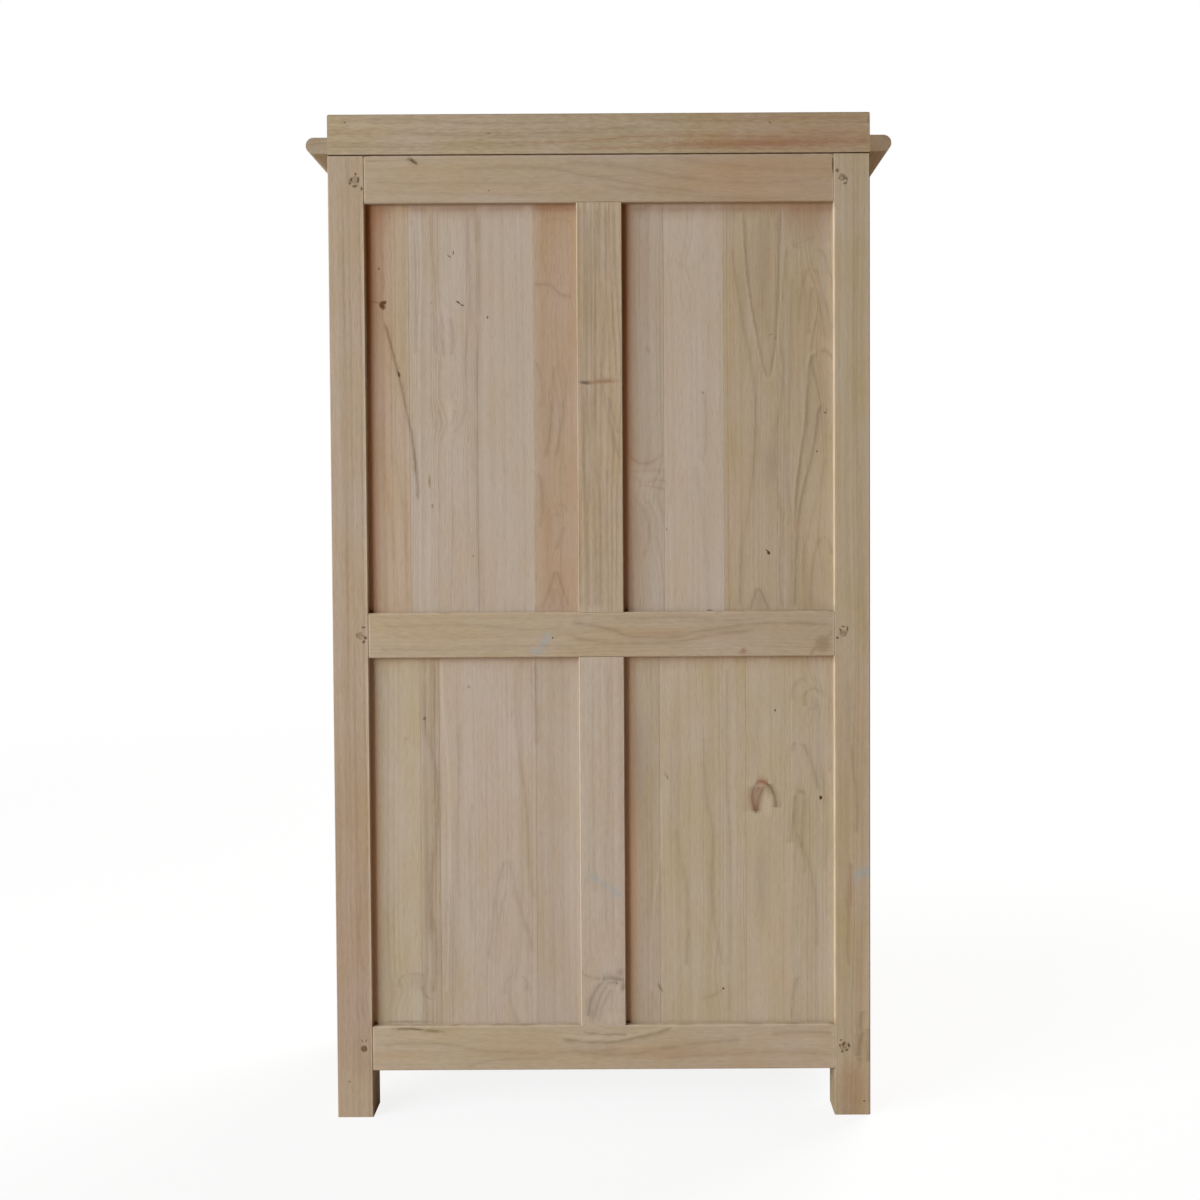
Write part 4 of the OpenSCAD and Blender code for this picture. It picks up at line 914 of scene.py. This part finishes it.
def random_knots(dice, low_u, high_u, low_v, high_v):
    """A knot or two with the rings round them, and small flecks, inside a board."""
    swells = []
    marks = {}
    for _ in range(dice.choice((0, 1, 1, 2))):
        u = dice.uniform(low_u, high_u)
        v = dice.uniform(low_v, high_v)
        size = dice.uniform(4, 9)
        swells.append((size * 1.7, u, v, size * 2.2, size * 5.5))
        marks.setdefault("red", []).append((55, 20, u, v, size, size * 1.5, dice.uniform(-20, 20)))
        marks.setdefault("dark", []).append((60, 20, u, v, size * 0.45, size * 0.8))
    for _ in range(dice.randrange(2, 6)):
        u = dice.uniform(low_u, high_u)
        v = dice.uniform(low_v, high_v)
        place = (u, v, dice.uniform(1.0, 2.0), dice.uniform(1.6, 5.0), dice.uniform(-40, 40))
        rows = marks.setdefault(dice.choice(("dark", "brown")), [])
        rows.append((dice.uniform(50, 90), 40, *place))
    return swells, marks


def random_stave(dice, left, right, heart, wide, seed):
    """What one of a board's staves is cut from."""
    middle = (left + right) / 2
    arched = wide and dice.random() < ARCHED_SHARE
    if arched:
        pith = middle + dice.uniform(-0.4, 0.4) * (right - left)
    else:
        pith = middle + dice.choice((-1, 1)) * PLAIN_PITH
    return stave(
        dice.choice(WIDE_KINDS if wide else NARROW_KINDS), seed, dice.uniform(0.97, 1.02), pith,
        heart + (ARCHED_DEEP if arched else PLAIN_DEEP), dice.uniform(-0.05, 0.05) if arched else 0.0,
        dice.uniform(6, 11), dice.uniform(0.16, 0.3), dice.uniform(5, 9), dice.uniform(0.12, 0.26),
        dice.uniform(0.3, 0.6))


def other_boards():
    """Every other wooden piece, cut from seeded timber. Wide ones are glued up from staves."""
    lies = {name: lie for lie, names in OTHER_BOARDS.items() for name in names}
    for number, (name, lie) in enumerate(sorted(lies.items())):
        dice = random.Random(400 + number)
        low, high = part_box(name)
        across, along, deep = ("xyz".index(axis) for axis in lie)
        wide = any(word in name for word in WIDE)
        width = high[across] - low[across]
        count = max(2, round(width / MM / STAVE_W)) if wide else 1
        edges = [(low[across] + width * (i + dice.uniform(-0.12, 0.12)) / count) / MM
                 for i in range(1, count)]
        bounds = [low[across] / MM, *edges, high[across] / MM]
        staves = [random_stave(dice, bounds[i], bounds[i + 1], low[deep] / MM, wide, 200 + number * 5 + i)
                  for i in range(count)]
        swells, marks = (), {}
        if name == "moulding_left":
            staves = [stave("brown", 333, 1.02, 600, 50, contrast=0.2, mottle=0.6)]
        elif name == "moulding_right":
            # painted light on the underside of the moulding
            marks = {"painted_highlight": [(40, 20, 1636, 0, 7, 260)]}
        elif not name.startswith(KNOTLESS):
            swells, marks = random_knots(dice, bounds[0], bounds[-1], low[along] / MM, high[along] / MM)
        board(name, lie, staves, edges, swells, marks)


def bin_boards():
    """The two crossed boards of the bottle bins, with the grain along their slopes."""
    for name, sign, seed in (("bin_board_rising", 1, 611), ("bin_board_falling", -1, 617)):
        low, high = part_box(name)
        slope = math.atan2(high.z - low.z, high.x - low.x) * sign
        along = (math.cos(slope), 0.0, math.sin(slope))
        through = (-math.sin(slope), 0.0, math.cos(slope))
        staves = [stave("tan", seed, 1.0, 500, 560, contrast=0.24),
                  stave("dull", seed + 1, 1.0, -600, 560, spacing=9, contrast=0.2),
                  stave("straw", seed + 2, 1.0, 700, 560, spacing=7, contrast=0.24)]
        board(name, ("y", along, through), staves, (-30, 70))


PEG_R = 9
PEG_PALE = (172, 150, 122)
PEG_DARK = (84, 62, 44)
PEG_STAIN = (112, 76, 50)
STAIN_SHOWS = 0.8
# Metals: colour, bloom, rubbed spots and how metallic they look
IRON = ((58, 54, 50), (84, 66, 50), (120, 114, 106), 0.85)
ZINC = ((128, 128, 126), (104, 102, 98), (168, 168, 166), 0.9)


def solid_net(name):
    """A new material, its net, and the wires of the place in it along x, y and z."""
    material = bpy.data.materials.new(name)
    net = blank(material)
    point = net.wire("TexCoord", output="Object")
    return material, net, [net.along(point, AXES[axis]) for axis in "xyz"]


def peg_wood():
    """End grain of the pegs: pored and clouded, with a check or two. One peg's end is stained."""
    material, net, (x, y, z) = solid_net("wood_pegs")
    cloud = net.noise(x * 260.0, y * 260.0, z * 260.0, 2.0)
    across = (x - PEG_X * MM) / (PEG_R * MM)
    up = (z - PEG_ZS[0] * MM) / (PEG_R * MM)
    stained = (1.0 - net.step(across * across + up * up, 0.8, 1.2)) * net.math("GREATER_THAN", y, 0.0)
    pore = net.step(net.noise(x * 1500.0, y * 1500.0, z * 1500.0, 0.0), 0.08, 0.2)
    check = net.step(net.noise(x * 300.0 + 7.0, y * 300.0, z * 90.0, 1.0), 0.12, 0.2)
    dark = net.clamp(cloud * 1.3 + pore * 0.3 + check * 0.5 + 0.24)
    colour = net.mix(dark, paint(PEG_PALE), paint(PEG_DARK))
    colour = net.mix(stained * STAIN_SHOWS, colour, paint(PEG_STAIN))
    height = cloud - pore - check
    net.surface(PEG_BUMP, height, Base_Color=colour, Roughness=cloud * 0.2 + 0.8, Specular_IOR_Level=0.2)
    return material


def metal(name, base, bloom_colour, rubbed, metallic):
    """Metal with a bloom on it and rubbed spots."""
    material, net, (x, y, z) = solid_net(name)
    bloom = net.noise(x * 120.0, y * 120.0, z * 120.0, 3.0, 0.6)
    grit = net.noise(x * 1900.0, y * 1900.0, z * 1900.0, 1.0)
    rub = net.step(net.noise(x * 300.0 + 3.0, y * 300.0, z * 70.0, 2.0), 0.1, 0.3)
    colour = net.mix(net.clamp(bloom * 1.4 + 0.4), paint(base), paint(bloom_colour))
    colour = net.mix(rub * 0.5, colour, paint(rubbed))
    net.surface(METAL_BUMP, grit + bloom, Base_Color=colour, Metallic=metallic, Roughness=bloom * 0.3 + 0.5)
    return material


def stand(name, data):
    """A new object in the scene."""
    made = bpy.data.objects.new(name, data)
    bpy.context.scene.collection.objects.link(made)
    return made


def in_order(build):
    """The corners of every face of a bmesh, in an order that is the same on each run."""
    faces = []
    for face in build.faces:
        corners = [vert.index for vert in face.verts]
        first = corners.index(min(corners))
        faces.append(corners[first:] + corners[:first])
    return sorted(faces)


def finish_piece(name, build, material, body):
    """Turns a bmesh into a piece that rides on a body."""
    bmesh.ops.recalc_face_normals(build, faces=build.faces)
    build.verts.index_update()
    mesh = bpy.data.meshes.new(name)
    mesh.from_pydata([vert.co for vert in build.verts], [], in_order(build))
    build.free()
    mesh.materials.append(material)
    made = stand(name, mesh)
    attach(made, body)


def skin(build, rings):
    """Faces between rings of vertices, and over the first and the last ring."""
    for low, high in zip(rings, rings[1:]):
        for i in range(len(low)):
            j = (i + 1) % len(low)
            build.faces.new((low[i], low[j], high[j], high[i]))
    build.faces.new(rings[-1])
    build.faces.new(list(reversed(rings[0])))


SCREW_R = 2.8
SCREW_PROUD = 0.2
SLOT_HALF = 0.32
SCREW_STEPS = 10
SCREW_RIM = ((SCREW_R, 0.0), (SCREW_R - 0.05, SCREW_PROUD * 0.7), (SCREW_R - 0.35, SCREW_PROUD))
HINGE_ZS = (308.5, 853.5, 1398.5)
SCREW_ZS = (-28, 0, 28)
SCREW_Y = -178.5
CARCASS_LEAF_X = 393.05
DOOR_LEAF_X = 392.45


def head_half(build, place, sign):
    """One half of a slotted screw head, a D with a rounded rim, standing on a leaf."""
    start = math.asin(SLOT_HALF / SCREW_R)
    rings = []
    for radius, rise in SCREW_RIM:
        ring = []
        for i in range(SCREW_STEPS + 1):
            angle = start + (math.pi - 2 * start) * i / SCREW_STEPS
            across, up = radius * math.cos(angle), max(radius * math.sin(angle), SLOT_HALF)
            ring.append(build.verts.new(place(across, sign * up, rise)))
        rings.append(ring)
    skin(build, rings)


def screws(name, side, leaf_x, outward, body, material):
    """The nine screws of a door's three hinges in one kind of leaf. Each slot has its own turn."""
    dice = random.Random(71 if outward > 0 else 72)
    build = bmesh.new()
    for screw_z in (hinge + offset for hinge in HINGE_ZS for offset in SCREW_ZS):
        turn = dice.uniform(0, math.pi)

        def place(across, up, rise, z=screw_z, slot_turn=turn):
            y = across * math.cos(slot_turn) - up * math.sin(slot_turn)
            dz = across * math.sin(slot_turn) + up * math.cos(slot_turn)
            return Vector((side * (leaf_x + outward * rise), SCREW_Y + y, z + dz)) * MM

        for sign in (1, -1):
            head_half(build, place, sign)
    finish_piece(name, build, material, body)


def rounded_box(build, low, high, radius):
    """A box between two corners with rounded edges, in millimetres."""
    made = bmesh.ops.create_cube(build, size=1.0)["verts"]
    size = [b - a for a, b in zip(low, high)]
    for vert in made:
        vert.co = Vector([(a + (c + 0.5) * s) * MM for a, c, s in zip(low, vert.co, size)])
    build.edges.index_update()
    edges = sorted({edge for vert in made for edge in vert.link_edges}, key=lambda edge: edge.index)
    bmesh.ops.bevel(build, geom=edges, offset=radius * MM, segments=3, profile=0.5, affect="EDGES")


BUTTON_STEPS = 20
BUTTON_RIM = ((1.0, 0.0), (0.97, 0.7), (0.86, 1.0))


def button(build, x, z, y, radius, rise):
    """A low round button that faces the doors, with a rounded rim."""
    rings = []
    for share, out in BUTTON_RIM:
        ring = []
        for i in range(BUTTON_STEPS):
            angle = 2 * math.pi * i / BUTTON_STEPS
            across, up = radius * share * math.cos(angle), radius * share * math.sin(angle)
            ring.append(build.verts.new(Vector((x + across, y - rise * out, z + up)) * MM))
        rings.append(ring)
    skin(build, rings)


CATCH_LOW = (-23, -161.8, 811)
CATCH_HIGH = (23, -142, 823.9)
CATCH_EDGE = 1.2
FLANGE_LOW = (-29, -155, 822.4)
FLANGE_HIGH = (29, -146, 823.9)
FLANGE_EDGE = 0.6
MAGNET_XS = (-12, 12)
MAGNET_Z = 817.5
MAGNET_R = 3.6
MAGNET_PROUD = 0.4
PLATE_XS = (4.5, 19.5)
PLATE_YS = (-163, -162.5)
PLATE_ZS = (811.5, 823.5)
PLATE_EDGE = 0.2


def catches(material):
    """The double magnetic catch under the counter board, and its plate on each door."""
    build = bmesh.new()
    rounded_box(build, CATCH_LOW, CATCH_HIGH, CATCH_EDGE)
    rounded_box(build, FLANGE_LOW, FLANGE_HIGH, FLANGE_EDGE)
    for x in MAGNET_XS:
        button(build, x, MAGNET_Z, CATCH_LOW[1], MAGNET_R, MAGNET_PROUD)
    finish_piece("catch", build, material, "carcass")
    for side, name in ((1, "right"), (-1, "left")):
        build = bmesh.new()
        low_x, high_x = sorted(side * x for x in PLATE_XS)
        rounded_box(build, (low_x, PLATE_YS[0], PLATE_ZS[0]), (high_x, PLATE_YS[1], PLATE_ZS[1]), PLATE_EDGE)
        finish_piece(f"catch_plate_{name}", build, material, f"door_{name}")


def hardware():
    """Iron on the hinges, their screws, and the catch."""
    iron = metal("iron", *IRON)
    zinc = metal("zinc", *ZINC)
    for name in ("hinges_carcass_leaves", "hinges_left_leaves", "hinges_right_leaves"):
        dress(name, iron)
    for side, name in ((1, "right"), (-1, "left")):
        screws(f"screws_post_{name}", side, CARCASS_LEAF_X, -1, "carcass", iron)
        screws(f"screws_door_{name}", side, DOOR_LEAF_X, 1, f"door_{name}", iron)
    catches(zinc)


def camera():
    """The camera of the picture, with its centre shifted as the picture was cut."""
    pitch, yaw, roll = (math.radians(a) for a in (CAMERA_PITCH, CAMERA_YAW, CAMERA_ROLL))
    forward = Vector((math.sin(yaw) * math.cos(pitch), -math.cos(yaw) * math.cos(pitch), -math.sin(pitch)))
    level = forward.cross(Vector((0, 0, 1))).normalized()
    upward = level.cross(forward)
    right = level * math.cos(roll) + upward * math.sin(roll)
    up = upward * math.cos(roll) - level * math.sin(roll)
    data = bpy.data.cameras.new("camera")
    data.sensor_width = SENSOR_MM
    data.lens = FOCAL_PX * SENSOR_MM / PICTURE_PX
    data.shift_x = (PICTURE_PX / 2 - CENTRE_PX[0]) / PICTURE_PX
    data.shift_y = (CENTRE_PX[1] - PICTURE_PX / 2) / PICTURE_PX
    data.clip_start = CLIP_NEAR
    data.clip_end = CLIP_FAR
    made = stand("camera", data)
    made.matrix_world = Matrix.Translation(CAMERA_AT) @ Matrix((right, up, -forward)).transposed().to_4x4()
    bpy.context.scene.camera = made


KEY_AT = Vector((5.5, 4.1, 2.2))
KEY_SIZE = (6.0, 3.6)
KEY_POWER = 655.0
KEY_COLOUR = (0.972, 1.040, 1.088)
FRONT_AT = Vector((-3.8, -4.8, 4.4))
FRONT_SIZE = (4.5, 4.0)
FRONT_POWER = 480.0
FRONT_COLOUR = (1.0, 1.0, 1.0)
AIM = Vector((0.0, 0.0, 0.85))
ROOM_LIGHT = 0.10
ROOM_COLOUR = (1.0, 0.66, 0.42, 1.0)


def softbox(name, place, size, power, colour):
    """A soft light aimed at the cabinet's middle."""
    data = bpy.data.lights.new(name, "AREA")
    data.shape = "RECTANGLE"
    data.size, data.size_y = size
    data.energy = power
    data.color = colour
    turn = (AIM - place).to_track_quat("-Z", "Y").to_matrix().to_4x4()
    stand(name, data).matrix_world = Matrix.Translation(place) @ turn


def studio():
    """Two soft boxes and a white room whose own light is weaker and warmer than it looks."""
    softbox("key", KEY_AT, KEY_SIZE, KEY_POWER, KEY_COLOUR)
    softbox("front", FRONT_AT, FRONT_SIZE, FRONT_POWER, FRONT_COLOUR)
    world = bpy.data.worlds.new("room")
    bpy.context.scene.world = world
    net = blank(world)
    seen = net.wire("LightPath", output="Is Camera Ray")
    strength = seen * (1.0 - ROOM_LIGHT) + ROOM_LIGHT
    light = net.mix(seen, ROOM_COLOUR, WHITE)
    net.node("OutputWorld", {0: net.wire("Background", {"Color": light, "Strength": strength})})
    bpy.context.scene.view_settings.view_transform = "Standard"


FLOOR_R = 7.0
FLOOR_STEPS = 96
FLOOR_SOLID = 1.6
FLOOR_GONE = 5.5
FLOOR_GLOW = 0.86
FLOOR_COLOUR = (0.16, 0.16, 0.16, 1.0)
FLOOR_BOUNCE = (0.80, 0.70, 0.60, 1.0)


def floor():
    """A pale floor that runs out into the white room."""
    mesh = bpy.data.meshes.new("floor")
    build = bmesh.new()
    bmesh.ops.create_circle(build, cap_ends=True, segments=FLOOR_STEPS, radius=FLOOR_R)
    build.to_mesh(mesh)
    build.free()
    material = bpy.data.materials.new("floor")
    net = blank(material)
    away = net.length(net.wire("TexCoord", output="Object"))
    gone = net.step(away, FLOOR_SOLID, FLOOR_GONE)
    seen = net.wire("LightPath", output="Is Camera Ray")
    pale = net.wire("BsdfDiffuse", {"Color": net.mix(seen, FLOOR_BOUNCE, FLOOR_COLOUR)})
    glow = net.wire("Emission", {"Color": WHITE, "Strength": seen * FLOOR_GLOW})
    lit = net.wire("AddShader", {0: pale, 1: glow})
    net.node("OutputMaterial", {0: net.wire("MixShader", {0: gone, 1: lit, 2: net.wire("BsdfTransparent")})})
    mesh.materials.append(material)
    stand("floor", mesh)


camera()
studio()
floor()
upper_right_panel()
upper_left_panel()
lower_right_panel()
lower_left_panel()
back_posts()
back_rails()
back_muntins()
back_crown()
other_boards()
bin_boards()
dress("pegs", peg_wood())
hardware()
